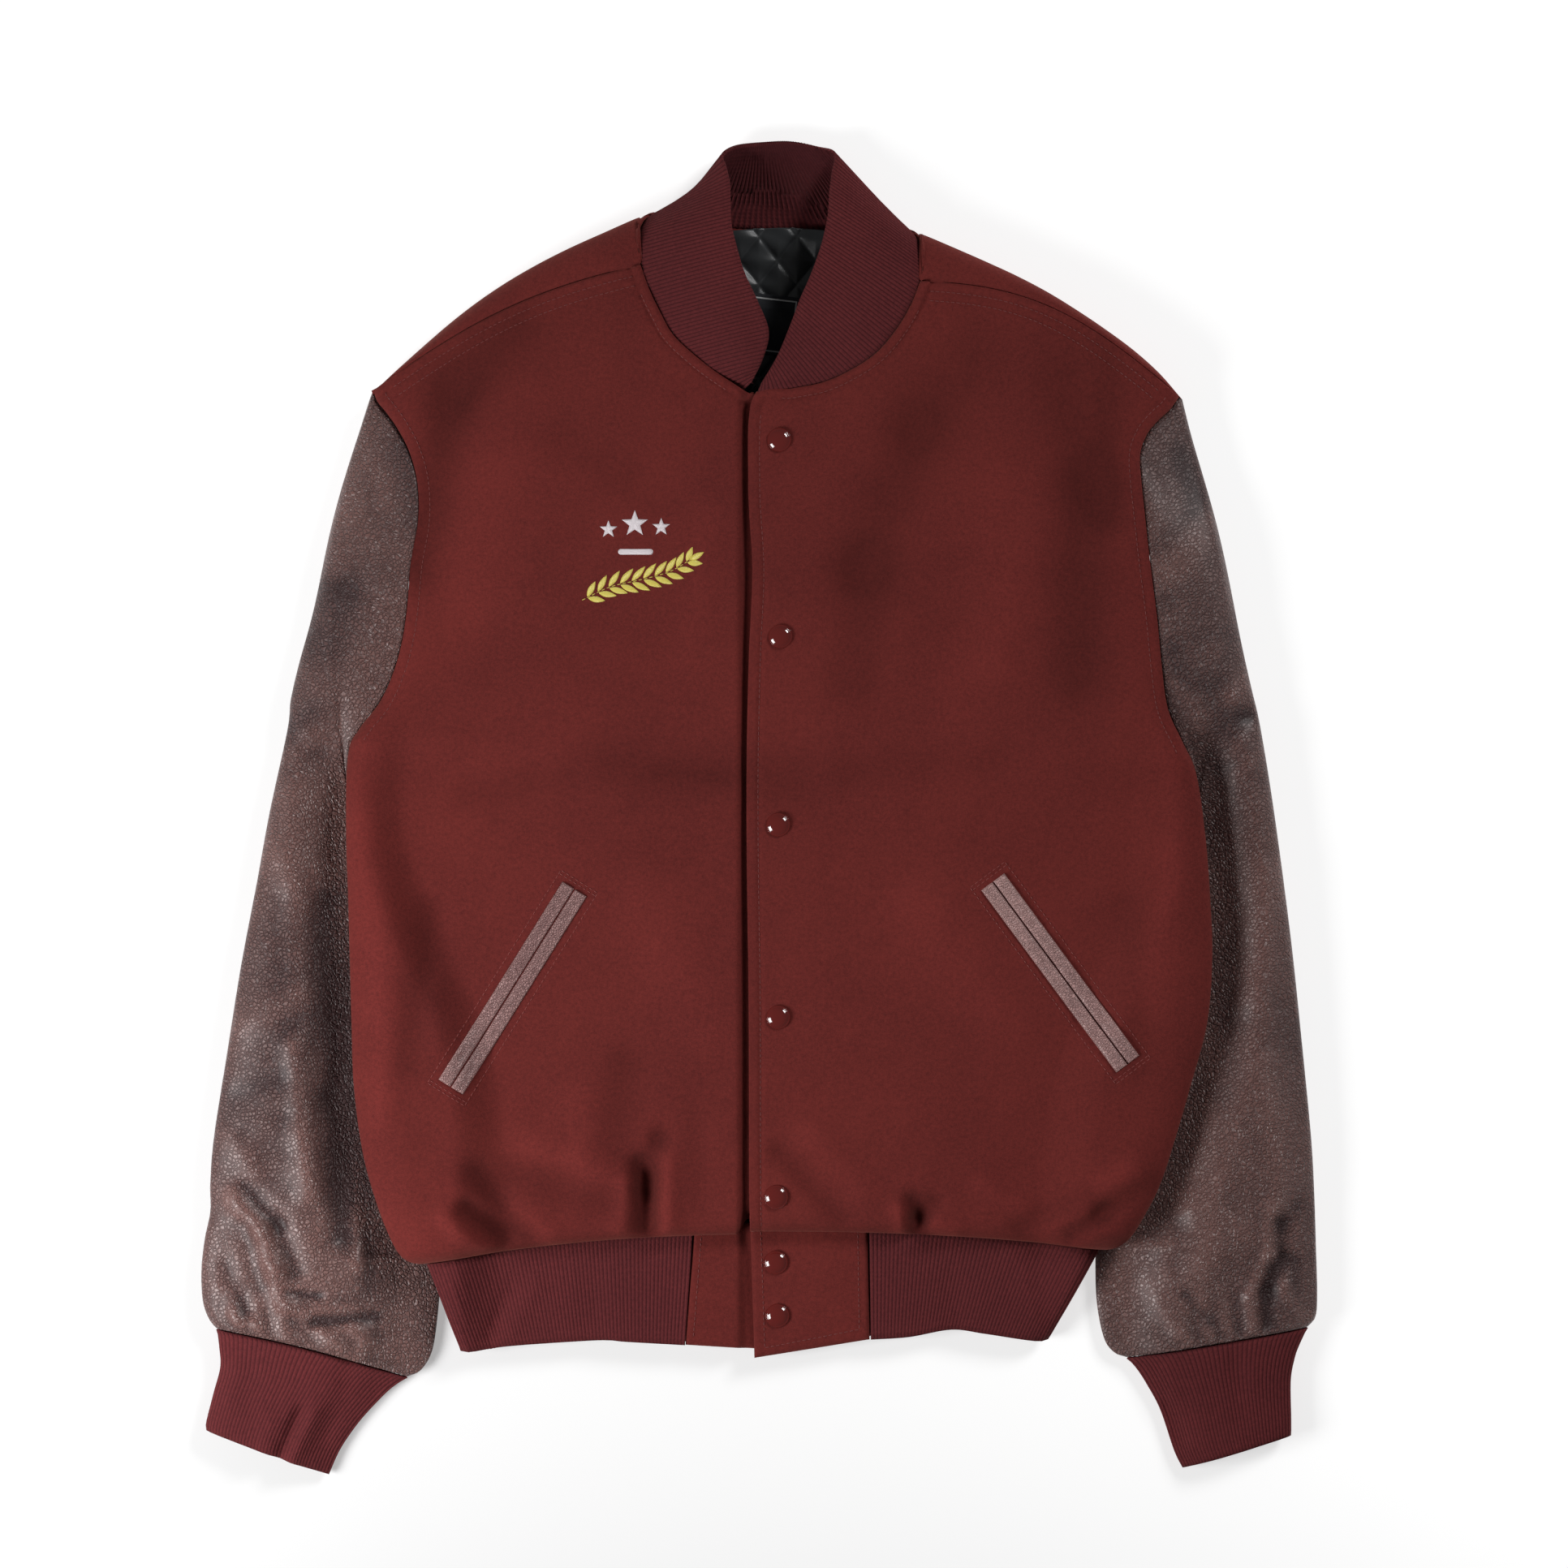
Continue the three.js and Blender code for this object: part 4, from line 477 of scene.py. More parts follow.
# %% [markdown]
# Sewing shows on the surface: the seam allowance makes a low ridge round the neck and along the
# placket, and each line of topstitching pulls a groove. Both follow from the distance to a seam.
# %% Seams in the fronts
NECK_RIDGE = 1.5
NECK_RIDGE_WIDTH = 6.5
PLACKET_LIFT = 0.8
PLACKET_STITCH = 7.2
SHOULDER_STITCHES = (6, 12)


def distance_to(points, line):
    """Distance in plan from each point to a line through points."""
    line = line[:, :2]
    best = np.full(points.shape[:-1], 1e9)
    for a, b in zip(line[:-1], line[1:]):
        way = b - a
        t = clamp(((points[..., :2] - a) @ way) / max(way @ way, 1e-9))
        best = np.minimum(best, np.linalg.norm(points[..., :2] - a - t[..., None] * way, axis=-1))
    return best


def groove(distance, place, depth, width=1.0):
    return -depth * np.exp(-((distance - place) / width) ** 2)


def sewn(grid, neck_row, has_placket):
    """The front with its seams: a raised edge round the neck, and grooves along the topstitching."""
    out = grid.copy()
    neck = distance_to(grid, grid[neck_row * FRONT_ROW_FACTOR:, 0])
    rise = NECK_RIDGE * np.sin(math.pi * clamp(neck / NECK_RIDGE_WIDTH)) ** 0.8 + groove(neck, 7.4, 0.9, 1.3)
    top = distance_to(grid, grid[-1])
    near, far = SHOULDER_STITCHES
    rise += groove(top, near, 0.45) + groove(top, far, 0.45) + 0.3 * np.sin(math.pi * clamp(top / near))
    arm = distance_to(grid, grid[UNDERARM_ROW * FRONT_ROW_FACTOR:, -1])
    rise += groove(arm, 7.2, 0.6, 1.3)
    if has_placket:
        edge = distance_to(grid, grid[:neck_row * FRONT_ROW_FACTOR, 0])
        free = clamp((np.arange(len(grid)) - 6) / 6)[:, None]
        rise += (groove(edge, PLACKET_STITCH, 0.7, 1.1) + PLACKET_LIFT * np.exp(-(edge / 9) ** 2)) * free
    out[..., 2] += rise
    return out


front_right_grid = sewn(front_right_grid, NECK_ROW_RIGHT, False)
front_left_grid = sewn(front_left_grid, NECK_ROW_LEFT, True)
print("highest point of the left front", front_left_grid[..., 2].max().round(1), "mm")

# %% [markdown]
# The back is one sheet. It lies flat, rolls up at the sides, folds over the shoulders and comes down
# to the seam in front of them, which is how the strip above the shoulder stitching is really cut.
# %% Back panel
SHOULDER_CELLS = 9
BACK_FACTOR = 4
BACK_OUTER_STEPS = [0, 4, 10, 18, 32]
FOLD_UNDER = 12
FOLD_OVER = 10


def coarse_front_edge(table, direction):
    """Top row of a front at the solid's own columns."""
    rows = table[-1:]
    fractions = np.linspace(0, 1, 60)[None, :]
    return front_points(np.repeat(rows, 2, axis=0), np.array([24.0, 24.0]), fractions, direction, False)[0]


def shoulder_columns(table, front_table, direction):
    foot = rail(table[:, [0, 1]])
    fold = rail(table[:, [2, 3, 4]])
    t = np.linspace(0, 1, SHOULDER_CELLS + 1)
    end = read_line(coarse_front_edge(front_table, direction), 1 - t)
    away = fold(t) - end
    away[:, 2] = 0
    end = end + SHOULDER_GAP * away / np.linalg.norm(away, axis=1, keepdims=True)
    feet = np.column_stack([foot(t), np.zeros(len(t))])
    return np.concatenate([feet, fold(t), end], axis=1)


def back_columns():
    right = shoulder_columns(SHOULDER_RIGHT, FRONT_RIGHT, -1)
    left = shoulder_columns(SHOULDER_LEFT, FRONT_LEFT, 1)[::-1]
    neck = np.column_stack([BACK_NECK[:, :2], np.zeros(len(BACK_NECK)), BACK_NECK[:, 2:]])
    return refined(np.concatenate([right, neck, left]), BACK_FACTOR)


def side_rail(front_table, armhole_rows):
    side = front_table[:UNDERARM_ROW + 1, [OUT_X, OUT_Y, OUT_Z]] - [0, 0, SEAM_GAP]
    return refined(np.concatenate([side, armhole_rows]), BACK_FACTOR)


def back_sheet():
    columns = back_columns()
    foot, fold, end = columns[:, 0:3], columns[:, 3:6], columns[:, 6:9]
    right = side_rail(FRONT_RIGHT, BACK_ARMHOLE_RIGHT)
    left = side_rail(FRONT_LEFT, BACK_ARMHOLE_LEFT)
    k = np.arange(len(right)) / BACK_FACTOR
    span = np.linalg.norm(right - left, axis=1)[:, None]
    count = (len(columns) - 1) // BACK_FACTOR
    start = np.array(BACK_OUTER_STEPS) / span
    middle = count + 1 - 2 * len(BACK_OUTER_STEPS)
    even = mix(start[:, -1:], 1 - start[:, -1:], np.arange(1, middle + 1)[None, :] / (middle + 1))
    coarse = np.concatenate([start, even, 1 - start[:, ::-1]], axis=1)
    s = refined(coarse.T, BACK_FACTOR).T
    straight = mix(right[:, None, :2], left[:, None, :2], s[..., None])
    morph = smooth((k - 4) / (k[-1] - 4))[:, None, None]
    places = straight + (foot[None, :, :2] - straight[-1:]) * morph
    hem_rise = np.interp(k, np.arange(len(BACK_HEM_RISE) + 1), np.append(BACK_HEM_RISE, 0))[:, None]
    places[..., 1] += hem_rise * np.sin(math.pi * clamp(s)) ** 0.8
    edge = np.minimum(s, 1 - s) * span
    edge_z = np.where(s < 0.5, right[:, 2:3], left[:, 2:3])
    z = edge_z * (1 - roll(edge, SIDE_ROLL_BACK))
    flat = np.concatenate([places, z[..., None]], axis=2)
    under_angles = np.linspace(0, math.pi / 2, FOLD_UNDER + 1)[1:, None]
    over_angles = np.linspace(0, math.pi / 2, FOLD_OVER + 1)[1:, None]
    under = np.stack([mix(foot[:, c], fold[:, c], np.sin(under_angles)) for c in (0, 1)]
                     + [fold[:, 2] * (1 - np.cos(under_angles))], axis=2)
    over = np.stack([mix(end[:, c], fold[:, c], np.cos(over_angles)) for c in (0, 1)]
                    + [mix(fold[:, 2], end[:, 2], np.sin(over_angles))], axis=2)
    index = np.concatenate([k, 20 + 3 * np.arange(1, FOLD_UNDER + 1) / FOLD_UNDER,
                            23 + 2 * np.arange(1, FOLD_OVER + 1) / FOLD_OVER])
    return np.concatenate([flat, under, over]), index


back_grid, back_k = back_sheet()
print("back sheet", back_grid.shape)

# %% [markdown]
# A sleeve is a tube that starts on the armhole. Each ring is flattened between an outer line and an
# inner line that tucks under the body. The first rings leave the armhole square to its seam, and are
# then evened out, as soft leather does by itself.
# %% Sleeves
SLEEVE_ROWS_FINE = 190
HEAD_EVENING = 60
WRINKLE_SHARE = 1.2
SLEEVE_RIPPLE = 0.7
GATHER = 0.9
ARMHOLE_STEPS = 132


def armhole_ring(front_grid, back_column):
    """Edge points round an armhole with their neighbours a few millimetres inside, and ring places."""
    start = UNDERARM_ROW * FRONT_ROW_FACTOR
    front_edge = front_grid[start:, -1]
    front_next = front_grid[start:, -5]
    use = (back_k > UNDERARM_ROW) & (back_k <= 24)
    order = np.where(use)[0][::-1]
    inner_column = 4 if back_column == 0 else -5
    back_edge = back_grid[order, back_column]
    back_next = back_grid[order, inner_column]
    places = np.concatenate([front_k[start:] - UNDERARM_ROW, 37 - back_k[order]])
    edge = lifted(np.concatenate([front_edge, back_edge]))
    inward = lifted(np.concatenate([front_next, back_next]))
    tangent = np.roll(edge, -1, axis=0) - np.roll(edge, 1, axis=0)
    tangent /= np.linalg.norm(tangent, axis=1, keepdims=True)
    away = edge - inward
    away -= tangent * (away * tangent).sum(axis=1, keepdims=True)
    away /= np.linalg.norm(away, axis=1, keepdims=True)
    even = np.linspace(0, 25, ARMHOLE_STEPS, endpoint=False)
    ring = np.stack([np.interp(even, places, c, period=25) for c in (edge + away * ARMHOLE_GAP).T], axis=1)
    out = np.stack([np.interp(even, places, c, period=25) for c in away.T], axis=1)
    return ring, out / np.linalg.norm(out, axis=1, keepdims=True), even


def puff_room(front_table, side, x, y):
    line = front_table[2:UNDERARM_ROW + 1][:, [OUT_X, OUT_Y]]
    arm_x, arm_y = line[-1]
    beside = (x - rail_x(line, y)) * side
    distance = np.where(y > arm_y, np.hypot(x - arm_x, y - arm_y), beside)
    return mix(smooth(distance / SQUEEZE_RUN), 1, smooth((y - arm_y) / 25))


print("points round an armhole", ARMHOLE_STEPS)

# %% [markdown]
# Down the sleeve, each ring lies between the two lines. Its upper half puffs up and takes the folds
# and wrinkles, its lower half lies on the table, and beside the body both are pressed down to fit
# under it. Gathers run into the cuff seam, where the wide sleeve meets the narrow knit.
# %% Sleeve tubes
def sleeve_sheet(front_table, front_grid, back_column, side, outer, inner, end_bow, seed):
    ring, away, place = armhole_ring(front_grid, back_column)
    outer_rail, inner_rail = rail(outer), rail(inner)
    start, chord = inner[0], outer[0] - inner[0]
    first = clamp(((ring[:, :2] - start) @ chord) / (chord @ chord))
    turn = np.where(place < 15, place / 15, (25 - place) / 10)
    even = (1 - np.cos(math.pi * turn)) / 2
    on_top = place < 15

    def across(t):
        s = mix(first, even, smooth((t - SLEEVE_HEAD) / SPREAD_RUN))
        p = mix(inner_rail([t]), outer_rail([t]), s[:, None])
        p[:, 1] += end_bow * np.sin(math.pi * s) * smooth((t - 0.8) / 0.2)
        return p, s

    head_end, _ = across(SLEEVE_HEAD)
    end_tangent = (across(SLEEVE_HEAD + 0.01)[0] - head_end) * SLEEVE_HEAD / 0.01
    rail_tangent = (outer_rail([0.02]) - outer_rail([0])) * SLEEVE_HEAD / 0.02
    pull = HEAD_PULL * mix(UNDERARM_PULL, 1, smooth(first / 0.08))
    start_tangent = mix(away[:, :2] * pull[:, None], rail_tangent, smooth((first - 0.6) / 0.35)[:, None])
    steps = np.linspace(0, 1, SLEEVE_ROWS_FINE)[1:]
    rows = [ring]
    for t in steps:
        p, s = across(max(t, SLEEVE_HEAD))
        u = t / SLEEVE_HEAD
        if u < 1:
            p = (ring[:, :2] * (1 - u * u * (3 - 2 * u)) + start_tangent * u * (1 - u) ** 2
                 + head_end * u * u * (3 - 2 * u) + end_tangent * u * u * (u - 1))
        x, y = p[:, 0], p[:, 1]
        full = mix(SLEEVE_HEIGHT, SLEEVE_END_HEIGHT, smooth((t - 0.6) / 0.4))
        room = puff_room(front_table, side, x, y)
        puff = (1 - np.abs(2 * s - 1) ** 2.4) ** (1 / 2.2)
        end_fade = smooth((1 - t) / 0.1)
        wrinkles = fold_height(SLEEVE_FOLDS, x, y) * end_fade
        wrinkles = wrinkles + WRINKLE_SHARE * fold_height(SLEEVE_WRINKLES, x, y)
        wrinkles = wrinkles + SLEEVE_RIPPLE * ripples(x, y, seed, 58) * smooth(t / 0.1)
        gathers = GATHER * np.sin(s * 46 + 2.2 * np.sin(s * 9 + seed)) * smooth((t - 0.9) / 0.08)
        crease = (wrinkles + gathers) * room * puff * smooth((1 - t) / 0.02)
        height = mix(TUCKED_HEIGHT, full, room)
        tube = np.where(on_top, height * (0.5 + 0.5 * puff) + crease, height * (0.5 - 0.5 * puff))
        z = mix(ring[:, 2], tube, smooth(u))
        rows.append(np.column_stack([p, z]))
    grid = np.array(rows)
    count = int(SLEEVE_ROWS_FINE * 0.36)
    soft = evened(grid[:count], HEAD_EVENING, closed=True)
    weight = (smooth(np.arange(count) / 10) * smooth((count - 1 - np.arange(count)) / 20))[:, None, None]
    grid[:count] = mix(grid[:count], soft, weight)
    return grid


sleeve_right_grid = sleeve_sheet(FRONT_RIGHT, front_right_grid, 0, -1,
                                 SLEEVE_RIGHT_OUTER, SLEEVE_RIGHT_INNER, 3, 5)
sleeve_left_grid = sleeve_sheet(FRONT_LEFT, front_left_grid, -1, 1,
                                SLEEVE_LEFT_OUTER, SLEEVE_LEFT_INNER, 0, 8)
print("sleeve sheets", sleeve_right_grid.shape, sleeve_left_grid.shape)

# %% [markdown]
# Knitted trim has upright ribs. Each rib is raised in the sheet itself with a few columns of points,
# so that the ribs catch the light from any side. Their count follows from the pitch and the length.
# %% Ribs
RIB_COLUMNS = 5
RIB_DEPTH = 0.55


def ribbed(grid, normals, closed=False):
    """A finer grid, even along its middle row, with ribs raised along its normals."""
    middle = grid[len(grid) // 2]
    line = np.concatenate([middle, middle[:1]]) if closed else middle
    steps = np.linalg.norm(np.diff(line, axis=0), axis=1)
    lengths = np.concatenate([[0], np.cumsum(steps)])
    ribs = max(8, round(lengths[-1] / RIB_PITCH))
    count = ribs * RIB_COLUMNS + (0 if closed else 1)
    even = np.arange(count) / RIB_COLUMNS * lengths[-1] / ribs
    places = np.interp(even, lengths, np.arange(len(lengths)))
    both = np.concatenate([grid, normals], axis=2)
    if closed:
        both = np.concatenate([both, both[:, :1]], axis=1)
    cell = np.minimum(places.astype(int), both.shape[1] - 2)
    u = (places - cell)[None, :, None]
    fine = mix(both[:, cell], both[:, cell + 1], u)
    phase = (np.arange(count) % RIB_COLUMNS) / RIB_COLUMNS
    profile = np.abs(np.sin(math.pi * phase)) ** 0.7 - 0.6
    ends = np.arange(len(grid))[:, None, None]
    depth = RIB_DEPTH * smooth(ends / 1.5) * smooth((len(grid) - 1 - ends) / 1.2)
    raised = fine[..., :3] + fine[..., 3:] * profile[None, :, None] * depth
    return raised, ribs


print("ribs every", RIB_PITCH, "mm, raised", RIB_DEPTH, "mm")

# %% [markdown]
# A cuff is a doubled knit tube. It starts at the sleeve's wrist, pulls in and ends slanted.
# %% Cuffs
CUFF_ROWS_FINE = 22


def cuff_sheet(wrist, side, outer, inner):
    outer_rail, inner_rail = rail(outer), rail(inner)
    start = wrist[0, :2]
    far = wrist[np.argmax(np.linalg.norm(wrist[:, :2] - start, axis=1)), :2]
    chord = far - start
    s = clamp(((wrist[:, :2] - start) @ chord) / (chord @ chord))
    down = np.array([-chord[1], chord[0]]) / np.linalg.norm(chord) * -side * CUFF_GAP
    straight = start + chord * s[:, None]
    rows = [np.column_stack([wrist[:, :2] + down, wrist[:, 2] * 0.9])]
    for t in np.linspace(0, 1, CUFF_ROWS_FINE)[1:]:
        p = mix(inner_rail([t]), outer_rail([t]), s[:, None])
        p = p + (wrist[:, :2] - straight) * (1 - t) ** 2
        z = wrist[:, 2] * mix(0.9, CUFF_END_HEIGHT / SLEEVE_END_HEIGHT, smooth(t * 1.5))
        wave = 0.7 * ripples(p[:, 0], p[:, 1], 21, 46) * smooth(t * 3)
        rows.append(np.column_stack([p, z + np.where(wrist[:, 2] > 9, wave, 0)]))
    return np.array(rows)


def creased(grid):
    """The knit with its few creases pressed into the side that faces up."""
    out = grid.copy()
    upper = smooth((grid[..., 2] - 8) / 5)
    out[..., 2] += fold_height(KNIT_CREASES, grid[..., 0], grid[..., 1]) * upper
    return out


cuff_right_grid = creased(cuff_sheet(sleeve_right_grid[-1], -1, CUFF_RIGHT_OUTER, CUFF_RIGHT_INNER))
cuff_left_grid = creased(cuff_sheet(sleeve_left_grid[-1], 1, CUFF_LEFT_OUTER, CUFF_LEFT_INNER))
print("cuff sheets", cuff_right_grid.shape, cuff_left_grid.shape)

# %% [markdown]
# The waistband runs from tab seam to tab seam round the back, pulled in below the bloused hem.
# %% Waistband
BAND_ROWS_FINE = 16
HIDDEN_RISE = 1.2


def coarse_hem(table, direction):
    rows = table[:2]
    fractions = np.linspace(0, 1, 40)[None, :]
    return front_points(rows, np.array([0.0, 1.0]), fractions, direction, False)[0]


def band_sheet():
    right = coarse_hem(FRONT_RIGHT, -1)
    left = coarse_hem(FRONT_LEFT, 1)
    top_z = right[12, 2]
    right = right[right[:, 0] < TAB_RIGHT_END - 6]
    left = left[left[:, 0] > TAB_LEFT_END + 6]
    right = np.vstack([[TAB_RIGHT_END - SEAM_GAP, right[0, 1] + 1.2, top_z], right])
    left = np.vstack([[TAB_LEFT_END + SEAM_GAP, left[0, 1] + 0.6, top_z], left])
    scale = np.array([1, 1, BAND_HEIGHT / top_z])
    right, left = right * scale, left * scale
    back = back_grid[0, 2:-2]
    rail_right, rail_left = rail(BAND_BOTTOM_RIGHT), rail(BAND_BOTTOM_LEFT)
    bottom_right = rail_right((right[0, 0] - right[:, 0]) / (right[0, 0] - right[-1, 0]))
    bottom_left = rail_left((left[:, 0] - left[0, 0]) / (left[-1, 0] - left[0, 0]))
    s = ((back[:, 0] - right[-1, 0]) / (left[-1, 0] - right[-1, 0]))[:, None]
    across = mix(rail_right([1.0]), rail_left([1.0]), s)
    below = np.concatenate([BAND_BOTTOM_RIGHT[::-1], BAND_BOTTOM_LEFT])
    hidden = np.interp(across[:, 0], below[:, 0], below[:, 1])
    hidden = hidden + HIDDEN_RISE * np.sin(math.pi * clamp(s[:, 0])) ** 0.5
    bottom_back = np.column_stack([across[:, 0], hidden])
    top = np.concatenate([right, back, left[::-1]]) - [0, HEM_GAP, 0]
    bottom = np.concatenate([bottom_right, bottom_back, bottom_left[::-1]])
    t = np.linspace(0, 1, BAND_ROWS_FINE)[:, None, None]
    xy = mix(top[None, :, :2], bottom[None], t)
    z = top[None, :, 2:] * mix(1, 0.94, t)
    return np.concatenate([xy, z], axis=2)


band_grid = creased(lifted(band_sheet()))
print("waistband sheet", band_grid.shape)

# %% [markdown]
# The collar is joined on round the whole neckline: up the right front, across the back and down the
# left front. It stands up from the seam and falls over to its free edge.
# %% Collar
COLLAR_ROWS_FINE = 20
COLLAR_BULGE = 4.5
COLLAR_SINK = 0.8
COLLAR_RIPPLE = 0.8


def collar_sheet():
    factor = FRONT_ROW_FACTOR
    right = lifted(front_right_grid[NECK_ROW_RIGHT * factor::factor, 0])
    left = lifted(front_left_grid[NECK_ROW_LEFT * factor::factor, 0])[::-1]
    first = (SHOULDER_CELLS + 1) * BACK_FACTOR
    neck = lifted(back_grid[-1, first:first + len(BACK_NECK) * BACK_FACTOR:BACK_FACTOR])
    seam = refined(np.concatenate([right, neck, left]), 10)
    seam = evened(seam[None], 12)[0]
    place = np.linspace(0, 1, len(seam))
    free = rail(COLLAR_EDGE)(place)
    reach = np.linalg.norm(seam - free, axis=1)
    t = np.linspace(0, 1, COLLAR_ROWS_FINE)[:, None]
    grid = mix(seam[None], free[None], t[..., None])
    bulge = COLLAR_BULGE * np.sin(math.pi * t) * smooth((seam[:, 2] - 12) / 18) * smooth(reach / 30)
    sink = COLLAR_SINK * (1 - smooth(t * reach / 7)) * smooth((seam[:, 2] - 12) / 12)
    waves = COLLAR_RIPPLE * ripples(grid[..., 0], grid[..., 1], 31, 60) * np.sin(math.pi * t / 2)
    grid[..., 2] += bulge - sink + waves
    return grid


collar_grid = collar_sheet()
print("collar sheet", collar_grid.shape)

# %% [markdown]
# Every sheet becomes a closed shell: its outer points, the same points moved in by the cloth's
# thickness, and a rim round its edges. A UV map keeps the run of the knit, and an attribute keeps
# how far a point stands out of its surroundings, which the materials use for painted shade in the
# creases and painted light on the crests, and the leather also for its roughness.
# %% Sheets to meshes
def turned(grid):
    return grid[:, ::-1]


def shell_faces(rows, columns, closed):
    spans = columns if closed else columns - 1
    i, j = np.meshgrid(np.arange(rows - 1), np.arange(spans), indexing="ij")
    after = (j + 1) % columns
    near, far = i * columns, (i + 1) * columns
    outer = np.stack([near + j, near + after, far + after, far + j], -1).reshape(-1, 4)
    lift = rows * columns
    inner = outer[:, ::-1] + lift
    j = np.arange(spans)
    after = (j + 1) % columns
    top = (rows - 1) * columns
    rims = [np.stack([j, j + lift, after + lift, after], -1),
            np.stack([top + j, top + after, top + after + lift, top + j + lift], -1)]
    if not closed:
        i = np.arange(rows - 1) * columns
        last = i + columns - 1
        rims.append(np.stack([i, i + columns, i + columns + lift, i + lift], -1))
        rims.append(np.stack([last, last + lift, last + columns + lift, last + columns], -1))
    return np.concatenate([outer, inner] + rims)


def mesh_object(name, points, faces, material, uv=None, relief=None):
    mesh = bpy.data.meshes.new(name)
    mesh.from_pydata(((points + SHIFT) * MM).tolist(), [], faces)
    mesh.polygons.foreach_set("use_smooth", [True] * len(mesh.polygons))
    if uv is not None:
        layer = mesh.uv_layers.new(name="cloth")
        corners = np.empty(len(mesh.loops), dtype=np.int32)
        mesh.loops.foreach_get("vertex_index", corners)
        layer.data.foreach_set("uv", uv[corners].astype(np.float32).ravel())
    if relief is not None:
        attribute = mesh.attributes.new("relief", "FLOAT", "POINT")
        attribute.data.foreach_set("value", relief.astype(np.float32))
    mesh.materials.append(material)
    mesh.update()
    piece = bpy.data.objects.new(name, mesh)
    bpy.context.collection.objects.link(piece)
    return piece


def fold_tone(grid, scale, *tables):
    """How far each point of a sheet lies down in the listed folds, or up on their crests."""
    return scale * sum(fold_height(table, grid[..., 0], grid[..., 1]) for table in tables)


def sheet_object(name, grid, thickness, material, closed=False, ribs=0, under=None, folds=0.0):
    rows, columns = grid.shape[:2]
    normals = grid_normals(grid, closed)
    inner = grid - normals * thickness if under is None else under
    relief = ((grid - evened(grid, 8, closed)) * normals).sum(axis=2) + folds
    across = np.arange(columns) / RIB_COLUMNS if ribs else np.arange(columns) * 1.0
    steps = np.linalg.norm(np.diff(grid, axis=0), axis=2).mean(axis=1)
    down = np.concatenate([[0], np.cumsum(steps)])
    uv = np.stack(np.broadcast_arrays(across[None, :], down[:, None]), axis=2).reshape(-1, 2)
    points = np.concatenate([grid.reshape(-1, 3), inner.reshape(-1, 3)])
    piece = mesh_object(name, points, shell_faces(rows, columns, closed).tolist(), material,
                        np.concatenate([uv, uv]), np.tile(relief.ravel(), 2))
    print(name, len(piece.data.polygons) * 2, "triangles")
    return piece


def inside_tube(grid, wall):
    """Points one wall inside a flattened tube: each ring draws in toward the middle of its two sides."""
    inner = grid.copy()
    for ring, out in zip(grid, inner):
        reach = np.linalg.norm(ring[:, :2] - ring[0, :2], axis=1)
        turn = int(reach.argmax())
        chord = ring[turn, :2] - ring[0, :2]
        fraction = clamp((ring[:, :2] - ring[0, :2]) @ chord / (chord @ chord))
        front, rear = np.arange(turn + 1), np.append(np.arange(turn, len(ring)), 0)[::-1]
        heights = [np.interp(fraction, np.maximum.accumulate(fraction[side]), ring[side, 2])
                   for side in (front, rear)]
        middle = sum(heights) / 2
        out[:, :2] += chord / np.linalg.norm(chord) * (wall * (1 - 2 * fraction))[:, None]
        out[:, 2] -= np.clip((ring[:, 2] - middle) / 2, -wall, wall)
    return inner


print("faces of the back's shell", len(shell_faces(*back_grid.shape[:2], False)))


# %% [markdown]
# Materials are built from nodes. Short helpers make a node, link or set its inputs, and hand back
# the output that the next node needs, so that each material below reads as a list of what it mixes.
# %% Node helpers
def put(tree, socket, source):
    """Link an input to another node's output, or set its value."""
    if isinstance(source, bpy.types.NodeSocket):
        tree.links.new(source, socket)
    else:
        socket.default_value = source


def add_node(tree, kind, links, **settings):
    node = tree.nodes.new(kind)
    for key, value in settings.items():
        setattr(node, key, value)
    for name, source in links.items():
        put(tree, node.inputs[name], source)
    return node


def calc(tree, operation, *values):
    return add_node(tree, "ShaderNodeMath", dict(enumerate(values)), operation=operation).outputs[0]


def ramp(tree, value, low, high, to_low=0.0, to_high=1.0):
    """One range of values stretched over another and held at its ends."""
    return add_node(tree, "ShaderNodeMapRange", {"Value": value, "From Min": low, "From Max": high,
                                                 "To Min": to_low, "To Max": to_high}).outputs[0]


def noise(tree, place, scale, detail, roughness=0.5, distortion=0.0, output="Fac"):
    links = {"Vector": place, "Scale": scale, "Detail": detail, "Roughness": roughness,
             "Distortion": distortion}
    return add_node(tree, "ShaderNodeTexNoise", links).outputs[output]


def blend(tree, factor, dark, light):
    """Two colours mixed by a factor; a Mix node keeps its colours in sockets 6 and 7."""
    mixed = add_node(tree, "ShaderNodeMix", {"Factor": factor, 6: dark, 7: light}, data_type="RGBA")
    return mixed.outputs[2]


def bump(tree, height, strength, distance, **more):
    links = {"Height": height, "Strength": strength, "Distance": distance, **more}
    return add_node(tree, "ShaderNodeBump", links).outputs["Normal"]


def relief_of(tree):
    return add_node(tree, "ShaderNodeAttribute", {}, attribute_name="relief").outputs["Fac"]


def cloth_axes(tree):
    """The run across and down a sheet, from its own UV map."""
    uv = add_node(tree, "ShaderNodeUVMap", {}, uv_map="cloth").outputs["UV"]
    return add_node(tree, "ShaderNodeSeparateXYZ", {"Vector": uv}).outputs


def srgb(red, green, blue):
    """A colour as read off a screen, 0 to 255, in the linear values that a shader takes."""
    values = [c / 255 for c in (red, green, blue)]
    return tuple(c / 12.92 if c < 0.04045 else ((c + 0.055) / 1.055) ** 2.4 for c in values) + (1.0,)


print("mid grey as a shader takes it", round(srgb(128, 128, 128)[0], 3))

